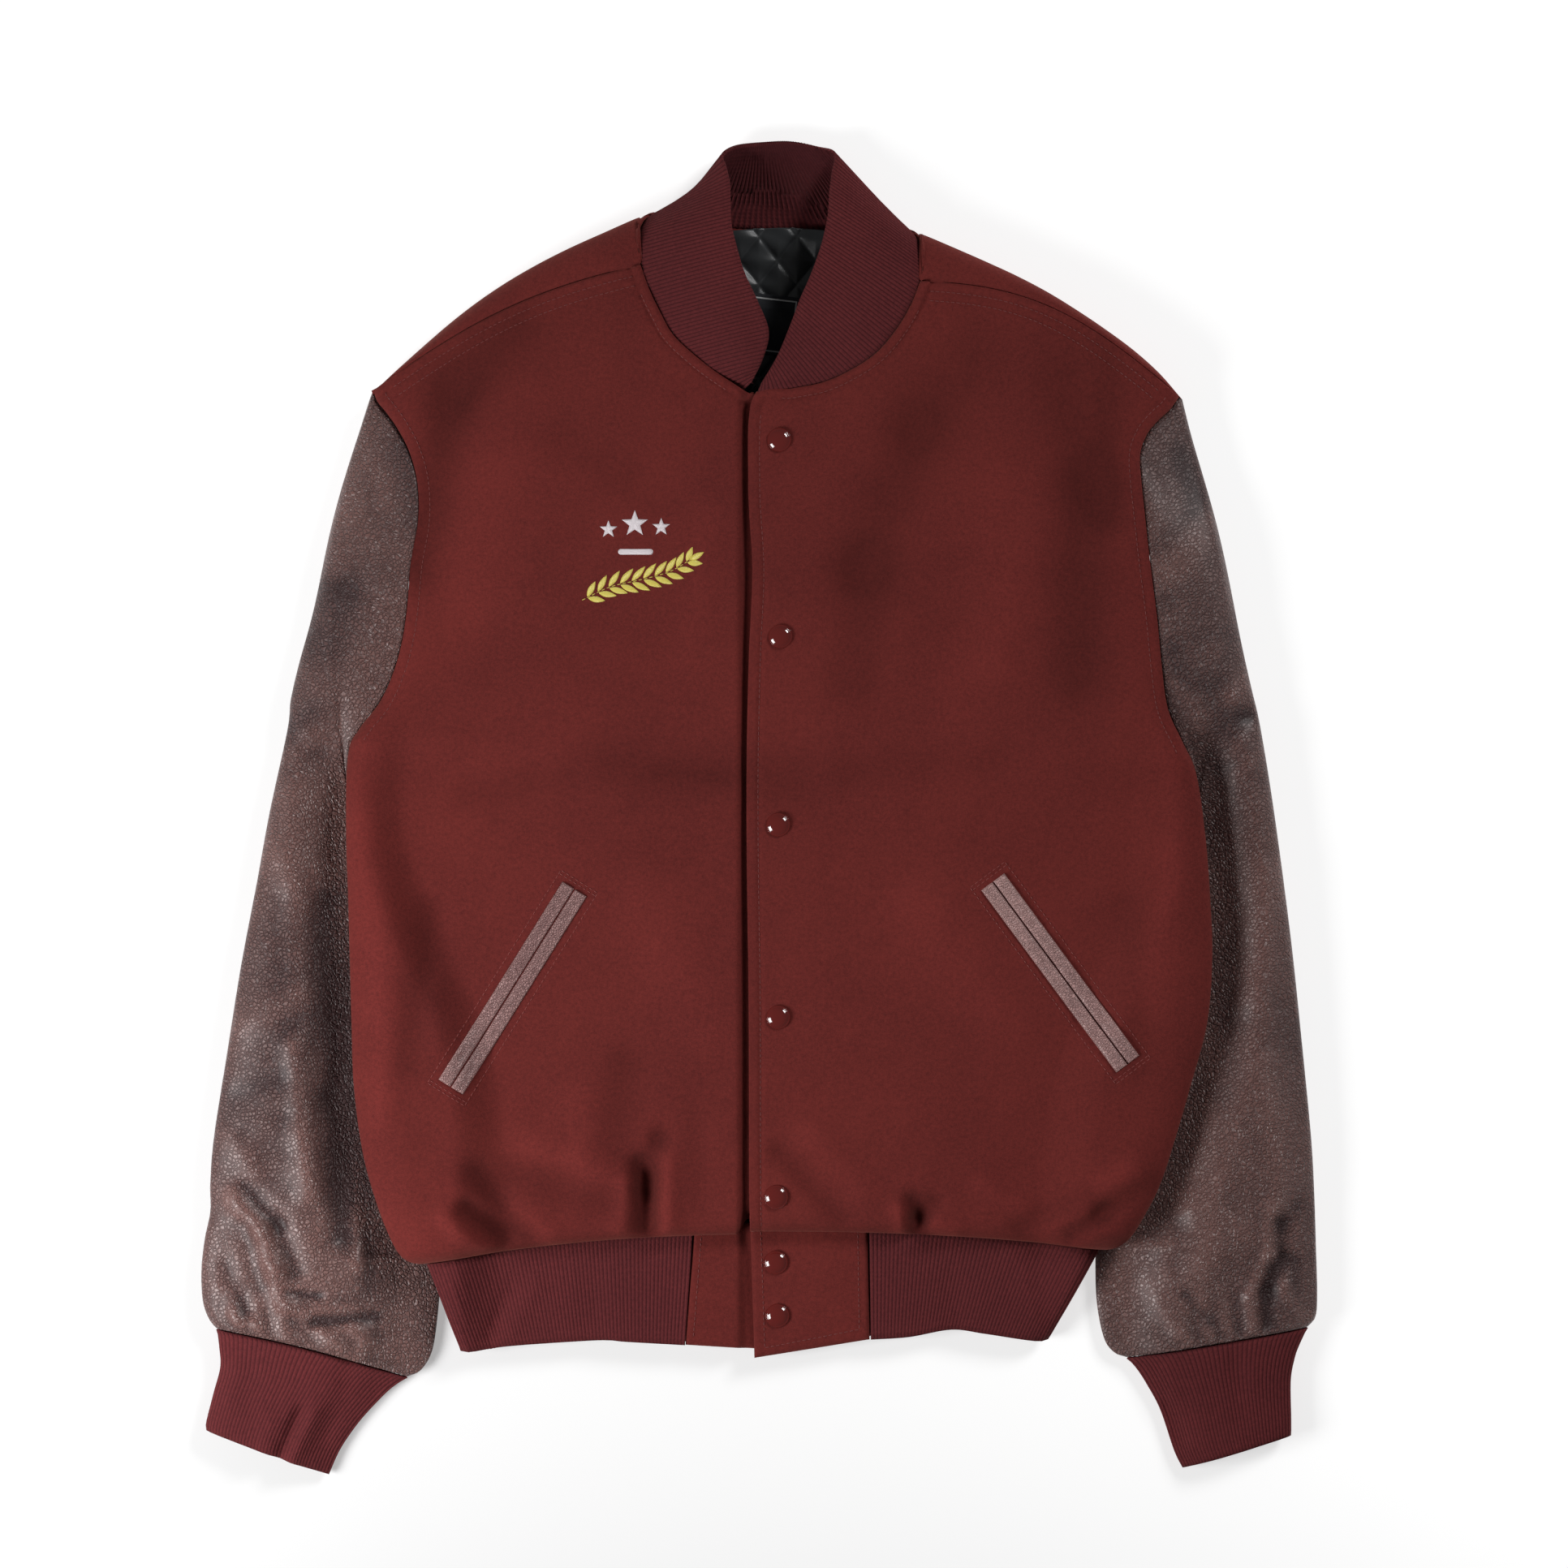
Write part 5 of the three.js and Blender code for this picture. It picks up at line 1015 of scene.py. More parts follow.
# %% [markdown]
# A node group is an effect that is built once, with named inputs and outputs, and then placed in
# several materials with values of their own. The shader itself stays in each material, where its
# inputs are set or linked by name.
# %% Groups and materials
def new_group(name, inputs, outputs):
    """A shader node group with named inputs and outputs."""
    group = bpy.data.node_groups.new(name, "ShaderNodeTree")
    for label, kind, default in inputs:
        socket = group.interface.new_socket(label, in_out="INPUT", socket_type="NodeSocket" + kind)
        socket.default_value = default
    for label, kind in outputs:
        group.interface.new_socket(label, in_out="OUTPUT", socket_type="NodeSocket" + kind)
    return group, group.nodes.new("NodeGroupInput").outputs, group.nodes.new("NodeGroupOutput").inputs


def use_group(tree, group, links):
    return add_node(tree, "ShaderNodeGroup", links, node_tree=group).outputs


def new_material(name):
    material = bpy.data.materials.new(name)
    material.use_nodes = True
    tree = material.node_tree
    return material, tree, tree.nodes.new("ShaderNodeTexCoord").outputs["Object"]


def dress(material, **sources):
    """Set or link inputs of the material's shader; an input's name has _ for each space."""
    tree = material.node_tree
    for key, source in sources.items():
        put(tree, tree.nodes["Principled BSDF"].inputs[key.replace("_", " ")], source)


BLACK = (0, 0, 0, 1)
WHITE = (1, 1, 1, 1)
print("a group's colours start at", WHITE, "and", BLACK)

# %% [markdown]
# Wool and knit both carry fine fibres that stand up from the surface. One group makes that nap: a
# soft mottle for the colour and a fine height for the bump.
# %% Fibre nap group
NAP, nap_in, nap_out = new_group(
    "fibre nap",
    [("Vector", "Vector", (0, 0, 0)), ("Fibre Scale", "Float", 1400.0), ("Light", "Color", WHITE),
     ("Dark", "Color", BLACK)],
    [("Color", "Color"), ("Height", "Float")])
fibre = noise(NAP, nap_in["Vector"], nap_in["Fibre Scale"], 3.0, 0.65)
clump = noise(NAP, nap_in["Vector"], 460.0, 4.0, 0.6)
fuzz = calc(NAP, "ADD", fibre, clump)
mottle = calc(NAP, "MULTIPLY_ADD", noise(NAP, nap_in["Vector"], 14.0, 3.0), 0.6, fuzz)
put(NAP, nap_out["Color"], blend(NAP, ramp(NAP, mottle, 0.9, 1.7), nap_in["Dark"], nap_in["Light"]))
put(NAP, nap_out["Height"], fuzz)
print(NAP.name, len(NAP.nodes), "nodes")

# %% [markdown]
# The wool is a heavy melton: dark red, felted, with no weave left to see. Its sheen is weak and
# broad. Troughs of the folds take painted shade and their crests painted light.
# %% Wool
wool, tree, place = new_material("wool melton")
nap = use_group(tree, NAP, {"Vector": place, "Light": srgb(118, 45, 41), "Dark": srgb(84, 30, 29)})
# painted shade in the troughs of the folds and painted light on their crests, scaled from the relief
fold_shade = ramp(tree, relief_of(tree), -4.5, 3.0, 0.66, 1.2)
toned = add_node(tree, "ShaderNodeVectorMath", {"Vector": nap["Color"], "Scale": fold_shade},
                 operation="SCALE").outputs["Vector"]
dress(wool, Roughness=0.95, Sheen_Weight=0.25, Sheen_Roughness=0.5, Sheen_Tint=srgb(190, 120, 105),
      Specular_IOR_Level=0.15, Base_Color=toned, Normal=bump(tree, nap["Height"], 0.35, 0.0006))
print(wool.name, len(tree.nodes), "nodes")

# %% [markdown]
# The sleeves and the welts are drum-dyed cowhide with a pebbled grain, so one group makes the grain.
# Cells of a Voronoi pattern stand for the pebbles, noise bends them so that they don't look laid out,
# and a second, broader bump wrinkles the hide. Pits of the grain are darker and duller than crests.
# The hollows of the folds are duller too and take painted shade, and their crests painted light, over
# a broad random mottle.
# %% Leather grain group
GRAIN, grain_in, grain_out = new_group(
    "leather grain",
    [("Vector", "Vector", (0, 0, 0)), ("Relief", "Float", 0.0), ("Grain Scale", "Float", 420.0),
     ("Light", "Color", WHITE), ("Dark", "Color", BLACK)],
    [("Color", "Color"), ("Roughness", "Float"), ("Normal", "Vector")])
on_hide = grain_in["Vector"]
bend = noise(GRAIN, on_hide, 160.0, 2.0, output="Color")
moved = add_node(GRAIN, "ShaderNodeMix", {"Factor": 0.004, 4: on_hide, 5: bend}, data_type="VECTOR")
bent = {"Vector": moved.outputs[1], "Scale": grain_in["Grain Scale"]}
cells = add_node(GRAIN, "ShaderNodeTexVoronoi", bent, feature="DISTANCE_TO_EDGE")
pebbles = ramp(GRAIN, cells.outputs["Distance"], 0.0, 0.22)
pores = calc(GRAIN, "MULTIPLY_ADD", noise(GRAIN, on_hide, 2600.0, 2.0), 0.15, pebbles)
wrinkled = bump(GRAIN, noise(GRAIN, on_hide, 46.0, 5.0, 0.55, 0.6), 0.5, 0.004)
# painted shade in the hollows and painted light on the crests, from the relief, added to a broad random
# mottle
painted_shade_and_mottle = calc(GRAIN, "MULTIPLY_ADD", grain_in["Relief"], 0.3, noise(GRAIN, on_hide, 9.0, 4.0))
crest = calc(GRAIN, "MULTIPLY_ADD", pebbles, 0.26, painted_shade_and_mottle)
tone = ramp(GRAIN, crest, 0.32, 0.95)
put(GRAIN, grain_out["Color"], blend(GRAIN, tone, grain_in["Dark"], grain_in["Light"]))
put(GRAIN, grain_out["Roughness"], ramp(GRAIN, crest, 0.3, 1.0, 0.54, 0.34))
put(GRAIN, grain_out["Normal"], bump(GRAIN, pores, 0.9, 0.0007, Normal=wrinkled))
print(GRAIN.name, len(GRAIN.nodes), "nodes")

# %% [markdown]
# The sleeves are deep brown with a thin clear finish over the dye. The welts are cut from a paler,
# greyer hide, whose grain looks finer because it is stretched over a narrow strip.
# %% Leathers
def leather_material(name, light, dark, scale):
    material, tree, place = new_material(name)
    grain = use_group(tree, GRAIN, {"Vector": place, "Relief": relief_of(tree), "Grain Scale": scale,
                                    "Light": srgb(*light), "Dark": srgb(*dark)})
    dress(material, Coat_Weight=0.2, Coat_Roughness=0.34, Base_Color=grain["Color"],
          Roughness=grain["Roughness"], Normal=grain["Normal"])
    return material


leather = leather_material("sleeve leather", (118, 85, 80), (60, 37, 37), 420.0)
welt_leather = leather_material("welt leather", (190, 150, 146), (122, 84, 83), 700.0)
print("leathers", leather.name, "and", welt_leather.name)

# %% [markdown]
# The trim is knitted in the same red, a little darker and bluer. The sheet carries the ribs; a wave
# down each rib stands for its stitches, and the grooves between the ribs take painted shade.
# %% Knit
knit, tree, place = new_material("rib knit")
nap = use_group(tree, NAP, {"Vector": place, "Fibre Scale": 1900.0, "Light": srgb(110, 45, 47),
                            "Dark": srgb(80, 31, 34)})
axes = cloth_axes(tree)
from_middle = calc(tree, "ABSOLUTE", calc(tree, "SUBTRACT", calc(tree, "FRACT", axes["X"]), 0.5))
slanted = calc(tree, "MULTIPLY_ADD", axes["Y"], 0.75, calc(tree, "MULTIPLY", from_middle, 2.4))
height = calc(tree, "MULTIPLY_ADD", calc(tree, "PINGPONG", slanted, 1.0), 0.6, nap["Height"])
# painted shade in the grooves between the ribs, mixed toward a near-black red
groove_shade = ramp(tree, from_middle, 0.3, 0.5, 0.0, 0.75)
dress(knit, Roughness=0.95, Sheen_Weight=0.1, Sheen_Roughness=0.5, Sheen_Tint=srgb(190, 110, 105),
      Specular_IOR_Level=0.2, Base_Color=blend(tree, groove_shade, nap["Color"], srgb(46, 14, 20)),
      Normal=bump(tree, height, 0.5, 0.0005))
print(knit.name, len(tree.nodes), "nodes")

# %% [markdown]
# The main sheets are made first. The sheets of one side are laid out from the placket, so those that
# would face down are turned round. Each front and sleeve keeps how deep its folds are, for the painted
# shade in its troughs and the painted light on its crests, and on the leather for its roughness.
# %% Make the main sheets
FRONT_TONE = 1.0
SLEEVE_TONE = 0.22


def as_laid(grid):
    return grid


def front_object(name, grid, order):
    return sheet_object(name, order(lifted(grid)), WOOL_THICK, wool,
                        folds=order(fold_tone(grid, FRONT_TONE, FRONT_FOLDS, FINE_FOLDS)))


def sleeve_object(name, grid, order):
    return sheet_object(name, order(grid), LEATHER_THICK, leather, closed=True,
                        under=order(inside_tube(grid, LEATHER_THICK)),
                        folds=order(fold_tone(grid, SLEEVE_TONE, SLEEVE_FOLDS, SLEEVE_WRINKLES)))


def rib_object(name, grid, closed=False):
    raised, ribs = ribbed(grid, grid_normals(grid, closed), closed)
    print(name, ribs, "ribs")
    return sheet_object(name, raised, RIB_THICK, knit, closed=closed, ribs=ribs)


front_right = front_object("wool_front_right", front_right_grid, turned)
front_left = front_object("wool_front_left", front_left_grid, as_laid)
back = sheet_object("wool_back", turned(lifted(back_grid)), WOOL_THICK, wool)
sleeve_right = sleeve_object("leather_sleeve_right", sleeve_right_grid, as_laid)
sleeve_left = sleeve_object("leather_sleeve_left", sleeve_left_grid, turned)
cuff_right = rib_object("knit_cuff_right", cuff_right_grid, closed=True)
cuff_left = rib_object("knit_cuff_left", turned(cuff_left_grid), closed=True)
hem_band = rib_object("knit_waistband", band_grid)
collar = rib_object("knit_collar", turned(collar_grid))

# %% [markdown]
# Trims lie on the cloth, so their heights are found by looking straight down on the sheets that
# carry them. Each lookup casts a ray from above and reads where it meets the sheet.
# %% Looking down on the sheets
def top_of(*pieces):
    """A lookup of the height of the topmost piece at a place, in millimetres."""
    meshes = [piece.data for piece in pieces]
    trees = [BVHTree.FromPolygons([v.co for v in mesh.vertices], [p.vertices for p in mesh.polygons])
             for mesh in meshes]

    def height(x, y, fallback=0.0):
        start = Vector(((x + SHIFT[0]) * MM, (y + SHIFT[1]) * MM, 0.2))
        hits = [tree.ray_cast(start, Vector((0, 0, -1)))[0] for tree in trees]
        found = [hit.z / MM - SHIFT[2] for hit in hits if hit is not None]
        return max(found) if found else fallback

    return height


fronts_top = top_of(front_right, front_left)
print("front height at the first snap", round(fronts_top(12.8, 230.5), 2), "mm")

# %% [markdown]
# The two tabs carry the lowest snaps. Each is the same wool folded double, so its edges are round
# and it is stitched near its edge; the left tab laps over the right one.
# %% Wool tabs
TAB_SIZE = (70, 78)
TAB_EDGE_RADIUS = 3
TAB_EDGE_DROP = 2.2
TAB_RIGHT = [(-40.65, -262.6), (22, -257.0), (-46.2, -337.4), (22, -341.5)]
TAB_LEFT = [(-5.4, -262.2), (68.65, -264.4), (-2.8, -345.6), (69.6, -334.0)]


def rounded_edges(u, v):
    across, down = (roll(np.minimum(t, 1 - t) * size, TAB_EDGE_RADIUS) for t, size in zip((u, v), TAB_SIZE))
    return -TAB_EDGE_DROP * (1 - across * down)


def tab_grid(corners, height_of):
    u = np.concatenate([np.linspace(0, 0.05, 6)[:-1], np.linspace(0.05, 0.95, 40),
                        np.linspace(0.95, 1, 6)[1:]])
    u, v = np.meshgrid(u, u)
    (ax, ay), (bx, by), (cx, cy), (dx, dy) = corners
    x = mix(mix(ax, bx, u), mix(cx, dx, u), v)
    y = mix(mix(ay, by, u), mix(cy, dy, u), v)
    z = height_of(x, y) + rounded_edges(u, v)
    return np.stack([x, y, z + 0.35 * ripples(x, y, 41, 60)], axis=2)


def flat_under(grid, depth):
    under = grid.copy()
    under[..., 2] = np.minimum(grid[..., 2] - 0.8, np.median(grid[..., 2], axis=1, keepdims=True) - depth)
    return under


def lapped_height(x, y):
    return BAND_HEIGHT - 4 * smooth((x + 14) / 7)


def lapping_height(x, y):
    return BAND_HEIGHT + 0.6 * smooth((-y - 264) / 20) * smooth((60 - x) / 40)


right_tab_grid = tab_grid(TAB_RIGHT, lapped_height)
left_tab_grid = tab_grid(TAB_LEFT, lapping_height)
tab_right = sheet_object("wool_tab_right", right_tab_grid, WOOL_THICK, wool,
                         under=flat_under(right_tab_grid, 3.4))
tab_left = sheet_object("wool_tab_left", left_tab_grid, WOOL_THICK, wool,
                        under=flat_under(left_tab_grid, 2.9))
print("tabs", TAB_SIZE, "mm, the left one up to", left_tab_grid[..., 2].max().round(1), "mm high")

# %% [markdown]
# Each pocket has two leather welts that meet over the slit. A welt is a folded strip, so it is
# round along both edges and slightly wrinkled along its length.
# %% Pocket welts
WELT_OFF = 0.35
WELT_RISE = 1.5
WELT_PROFILE = [0, 0.03, 0.1, 0.22, 0.36, 0.5, 0.64, 0.78, 0.9, 0.97, 1.0]
POCKETS = {"right": ((-115.3, -50.5), (-192.3, -173.9)), "left": ((146.4, -45.9), (230.5, -159.6))}


def pocket_axes(side):
    start, end = (np.array(p) for p in POCKETS[side])
    along = end - start
    length = np.linalg.norm(along)
    along = along / length
    across = np.array([-along[1], along[0]])
    return start, along, across, length


def welt_grid(side, sign, seed):
    start, along, across, length = pocket_axes(side)
    out = np.array(WELT_PROFILE) * WELT_WIDTH + WELT_OFF
    start_steps = np.array([0, 0.3, 0.9])
    run = np.concatenate([start_steps, np.linspace(2, length - 2, 110), length - start_steps[::-1]])
    s, w = np.meshgrid(run, out, indexing="ij")
    xy = start + s[..., None] * along + sign * w[..., None] * across
    ground = np.array([[fronts_top(x, y) for x, y in row] for row in xy])
    even = evened(ground[..., None], 30)[..., 0]
    rim = roll(w - WELT_OFF, 1.5) * roll(WELT_WIDTH + WELT_OFF - w, 1.5)
    ends = roll(np.minimum(s, length - s), 1.2)
    wrinkle = 0.28 * ripples(s * 1.0, w * 2.2, seed, 17) + 0.2 * ripples(s, w * 3, seed + 1, 6)
    ground = np.maximum(even, ground)
    top = ground + 0.35 + (WELT_RISE + wrinkle) * rim * ends
    return np.dstack([xy, top]), np.dstack([xy, ground + 0.15])


welts = []
for side, sign, place, seed in (("right", -1, "side", 51), ("right", 1, "centre", 53),
                                ("left", 1, "side", 55), ("left", -1, "centre", 57)):
    top, under = welt_grid(side, sign, seed)
    if sign > 0:
        top, under = turned(top), turned(under)
    welts.append(sheet_object(f"leather_welt_{side}_{place}", top, LEATHER_THICK, welt_leather, under=under))
print("pockets", [round(float(pocket_axes(side)[-1])) for side in POCKETS], "mm long")

# %% [markdown]
# The lining is satin quilted in diamonds. Between the lines of stitching the wadding lifts it, and
# along them it sinks. Only the part that the neck opening shows is made.
# %% Quilted lining
QUILT = 24
LINING_THICK = 1.0
LINING_LOW = (-62, 88, 232)
LINING_HIGH = (-52, 80, 352)


def lining_grid():
    u, v = np.meshgrid(np.linspace(0, 1, 150), np.linspace(0, 1, 130))
    x = mix(mix(LINING_LOW[0], LINING_LOW[1], u), mix(LINING_HIGH[0], LINING_HIGH[1], u), v)
    arch = 13.5 * np.sqrt(np.maximum(np.sin(math.pi * u), 0))
    y = mix(LINING_LOW[2], LINING_HIGH[2], v) + v * arch
    first = np.abs(((x + y * 0.8) / QUILT) % 1 - 0.5) * 2
    second = np.abs(((x - y * 0.8) / QUILT) % 1 - 0.5) * 2
    puff = np.minimum(np.sqrt(1 - first ** 2 * 0.999), np.sqrt(1 - second ** 2 * 0.999))
    z = 4.4 + 2.2 * puff ** 1.2 + 1.0 * ripples(x, y, 61, 40) + 3.4 * smooth((y - 335) / 25)
    return np.stack([x, y, z], axis=2)


satin, tree, place = new_material("quilted satin")
threads = add_node(tree, "ShaderNodeTexWave", {"Vector": place, "Scale": 900.0, "Distortion": 1.5})
dress(satin, Roughness=0.34, Base_Color=srgb(46, 48, 50), Sheen_Weight=0.3,
      Normal=bump(tree, threads.outputs["Fac"], 0.12, 0.0002))
quilt = lining_grid()
lining = sheet_object("satin_lining", quilt, LINING_THICK, satin)
print("diamonds every", QUILT, "mm")

# %% [markdown]
# The label is a plain woven patch sewn inside the neck: near-black, with a thin pale frame woven
# into it and nothing written on it.
# %% Blank label
LABEL_SIZE = (57, 38)
LABEL_CENTRE = (-4, 306)
LABEL_TURN = -0.12
LABEL_THICK = 0.5
FRAME_FROM_EDGE = 2.6
FRAME_HALF_WIDTH = 0.45


def label_material():
    material, tree, place = new_material("woven label")
    axes = cloth_axes(tree)
    from_edge = []
    for axis, size in zip("XY", LABEL_SIZE):
        away = calc(tree, "ABSOLUTE", calc(tree, "SUBTRACT", axes[axis], size / 2))
        from_edge.append(calc(tree, "SUBTRACT", size / 2, away))
    frame_line = calc(tree, "COMPARE", calc(tree, "MINIMUM", *from_edge), FRAME_FROM_EDGE, FRAME_HALF_WIDTH)
    weave = add_node(tree, "ShaderNodeTexWave", {"Vector": place, "Scale": 700.0, "Distortion": 0.4})
    dress(material, Roughness=0.7, Base_Color=blend(tree, frame_line, srgb(24, 26, 32), srgb(196, 196, 196)),
          Normal=bump(tree, weave.outputs["Fac"], 0.3, 0.0003))
    return material


def label_grid():
    v, u = np.meshgrid(np.linspace(-0.5, 0.5, 39), np.linspace(-0.5, 0.5, 58), indexing="ij")
    across, up = u * LABEL_SIZE[0], v * LABEL_SIZE[1]
    x = LABEL_CENTRE[0] + across * math.cos(LABEL_TURN) - up * math.sin(LABEL_TURN)
    y = LABEL_CENTRE[1] + across * math.sin(LABEL_TURN) + up * math.cos(LABEL_TURN)
    height = top_of(lining)
    ground = np.array([[height(a, b, 6.0) for a, b in zip(*rows)] for rows in zip(x, y)])
    even = evened(ground[..., None], 40)[..., 0]
    return np.stack([x, y, np.maximum(even, ground) + 0.9], axis=2)


label_cloth = label_grid()
label = sheet_object("blank_label", label_cloth, LABEL_THICK, label_material())
print("label", LABEL_SIZE, "mm")

# %% [markdown]
# A snap cap is a pressed dome with a rolled rim. It starts as a disc: its top face is inset and
# raised in steps for the dome, and its lower edge is bevelled round. The other six are copies.
# %% Snap cap
CAP_STEPS = ((0.35, 0.25), (0.5, -0.12), (0.4, 0.28), (0.6, 0.42), (0.8, 0.4), (0.9, 0.3), (1.0, 0.2),
             (1.1, 0.12), (0.9, 0.05))
SNAPS = [(12.8, 230.5), (13.6, 107.6), (12.2, -10.2), (12.2, -130.6), (10.9, -243.0), (10.7, -285.4),
         (11.7, -318.8)]


def deselect():
    bpy.ops.object.select_all(action="DESELECT")


def snap_cap(material):
    deselect()
    bpy.ops.mesh.primitive_cylinder_add(vertices=72, radius=SNAP_RADIUS * MM, depth=1.2 * MM,
                                        location=(0, 0, 0.6 * MM))
    cap = bpy.context.active_object
    bpy.ops.object.transform_apply(location=True, rotation=True, scale=True)
    bpy.ops.object.mode_set(mode="EDIT")
    bpy.ops.mesh.select_mode(type="FACE")
    bpy.ops.mesh.select_all(action="DESELECT")
    edit = bmesh.from_edit_mesh(cap.data)
    for face in edit.faces:
        face.select = face.normal.z > 0.9
    bmesh.update_edit_mesh(cap.data)
    for inset, rise in CAP_STEPS:
        bpy.ops.mesh.inset(thickness=inset * MM)
        bpy.ops.transform.translate(value=(0, 0, rise * MM))
    bpy.ops.object.mode_set(mode="OBJECT")
    bevel = cap.modifiers.new("rim", "BEVEL")
    bevel.width, bevel.segments = 0.35 * MM, 3
    bevel.limit_method = "ANGLE"
    bevel.angle_limit = math.radians(50)
    bpy.ops.object.modifier_apply(modifier="rim")
    bpy.ops.object.shade_smooth_by_angle(angle=math.radians(50))
    cap.data.materials.append(material)
    return cap


enamel, _, _ = new_material("snap cap enamel")
dress(enamel, Roughness=0.1, Base_Color=srgb(98, 26, 22), Coat_Weight=0.7, Coat_Roughness=0.03)
pattern = snap_cap(enamel)
pattern_points = np.array([v.co for v in pattern.data.vertices])
all_top = top_of(front_left, tab_left)
caps = []
for number, (x, y) in enumerate(SNAPS, 1):
    cap = pattern.copy()
    cap.data = pattern.data.copy()
    cap.name = cap.data.name = f"snap_cap_{number}"
    bpy.context.collection.objects.link(cap)
    reach = SNAP_RADIUS * 0.8
    rim = [all_top(x + reach * math.cos(a), y + reach * math.sin(a))
           for a in np.linspace(0, 2 * math.pi, 12, endpoint=False)]
    seat = float(np.median(rim)) + 0.05
    place = (np.array([x, y, seat]) + SHIFT) * MM
    cap.data.vertices.foreach_set("co", (pattern_points + place).ravel())
    cap.data.update()
    caps.append(cap)
    print(cap.name, "seat at", round(seat, 1), "mm")
bpy.data.objects.remove(pattern)

# %% [markdown]
# Topstitching holds every seam flat. One stitch is modelled as a short thread that dips at both
# ends, and copies of it follow each line at about three millimetres apart, following the cloth.
# %% Stitches
STITCH_LENGTH = 2.5
STITCH_PITCH = 3.3
THREAD = 0.6
STEEPEST = 2.5
TWIST, twist_in, twist_out = new_group("thread twist", [("Vector", "Vector", (0, 0, 0))],
                                       [("Normal", "Vector")])
put(TWIST, twist_out["Normal"], bump(TWIST, noise(TWIST, twist_in["Vector"], 1100.0, 2.0), 0.4, 0.0003))


def thread_material(name, colour):
    material, tree, place = new_material(name)
    dress(material, Roughness=0.6, Base_Color=srgb(*colour), Sheen_Weight=0.1,
          Normal=use_group(tree, TWIST, {"Vector": place})["Normal"])
    return material


def one_stitch():
    deselect()
    bpy.ops.mesh.primitive_uv_sphere_add(segments=8, ring_count=6, radius=1, location=(0, 0, 0))
    stitch = bpy.context.active_object
    bpy.ops.object.mode_set(mode="EDIT")
    bpy.ops.mesh.select_all(action="SELECT")
    bpy.ops.transform.resize(value=(STITCH_LENGTH / 2, THREAD / 2, THREAD / 2))
    bpy.ops.object.mode_set(mode="OBJECT")
    points = np.array([v.co for v in stitch.data.vertices])
    faces = [tuple(p.vertices) for p in stitch.data.polygons]
    bpy.data.objects.remove(stitch)
    return points, faces


stitch_points, stitch_faces = one_stitch()


def stitches(name, lines, height, material, lift=0.12):
    """Stitches along lines on the cloth, as one piece; a stitch over an edge is left out."""
    points, faces = [], []
    for line in lines:
        line = np.asarray(line, float)
        steps = np.linalg.norm(np.diff(line, axis=0), axis=1)
        count = max(2, int(steps.sum() / STITCH_PITCH))
        middles = (np.arange(count) + 0.5) / count
        places, ahead, behind = (read_line(line, clamp(middles + step)) for step in (0, 0.004, -0.004))
        for place, a, b in zip(places, ahead, behind):
            way = (a - b)[:2] / np.linalg.norm((a - b)[:2])
            ends = [height(*(place[:2] + way * side * STITCH_LENGTH / 2), None) for side in (-1, 0, 1)]
            if None in ends or max(ends) - min(ends) > STEEPEST:
                continue
            tilt = (ends[2] - ends[0]) / STITCH_LENGTH
            x = place[0] + stitch_points[:, 0] * way[0] - stitch_points[:, 1] * way[1]
            y = place[1] + stitch_points[:, 0] * way[1] + stitch_points[:, 1] * way[0]
            z = ends[1] + lift + stitch_points[:, 0] * tilt + stitch_points[:, 2]
            start = len(points) * len(stitch_points)
            points.append(np.stack([x, y, z], axis=1))
            faces.extend(tuple(start + i for i in face) for face in stitch_faces)
    print(name, len(points), "stitches")
    return mesh_object(name, np.concatenate(points), faces, material)


def inset_line(line, distance, sign=1):
    """The line moved sideways over the cloth."""
    line = np.asarray(line, float)[:, :2]
    way = np.gradient(line, axis=0)
    way = way / np.linalg.norm(way, axis=1, keepdims=True)
    return line + sign * distance * np.stack([-way[:, 1], way[:, 0]], axis=1)


wool_thread = thread_material("wool topstitch thread", (114, 46, 43))
right_edges = lifted(front_right_grid)
left_edges = lifted(front_left_grid)
armhole_row = UNDERARM_ROW * FRONT_ROW_FACTOR
placket = left_edges[4:-58, 0]
armhole_right, armhole_left = (edges[armhole_row + 6:-4, -1] for edges in (right_edges, left_edges))
print("placket from", placket[0].round(1), "to", placket[-1].round(1))

# %% [markdown]
# The lines follow the real seams: one beside the placket edge, one round each armhole, two below
# each shoulder seam, one under the neckline, and a box round each pocket with doubled ends.
# %% Lines of topstitching
ARMHOLE_STITCH = 7
NECK_STITCH = 6
neck_right = right_edges[NECK_ROW_RIGHT * FRONT_ROW_FACTOR + 4:-8, 0]
neck_left = left_edges[NECK_ROW_LEFT * FRONT_ROW_FACTOR + 6:-8, 0]
seam_lines = [inset_line(placket, PLACKET_STITCH, -1), inset_line(armhole_right, ARMHOLE_STITCH, -1),
              inset_line(armhole_left, ARMHOLE_STITCH), inset_line(neck_right, NECK_STITCH),
              inset_line(neck_left, NECK_STITCH, -1)]
for distance in SHOULDER_STITCHES:
    seam_lines.append(inset_line(right_edges[-1, 6:-6], distance))
    seam_lines.append(inset_line(left_edges[-1, 6:-6], distance, -1))


def pocket_box(side):
    start, along, across, length = pocket_axes(side)
    wide, beyond = WELT_WIDTH + WELT_OFF + 4.6, 5.5
    corners = [start + along * s + across * w for s, w in ((-beyond, -wide), (length + beyond, -wide),
                                                           (length + beyond, wide), (-beyond, wide))]
    lines = [np.array([corners[a], corners[b]]) for a, b in ((0, 1), (1, 2), (2, 3), (3, 0))]
    for s in (-beyond + 2.2, length + beyond - 2.2):
        lines.append(np.array([start + along * s - across * wide, start + along * s + across * wide]))
    return lines


def tab_lines(corners, inset, sides):
    (ax, ay), (bx, by), (cx, cy), (dx, dy) = corners
    ring = np.array([(ax + inset, ay), (cx + inset, cy + inset), (dx - inset, dy + inset), (bx - inset, by)])
    return [ring[[a, b]] for a, b in sides]


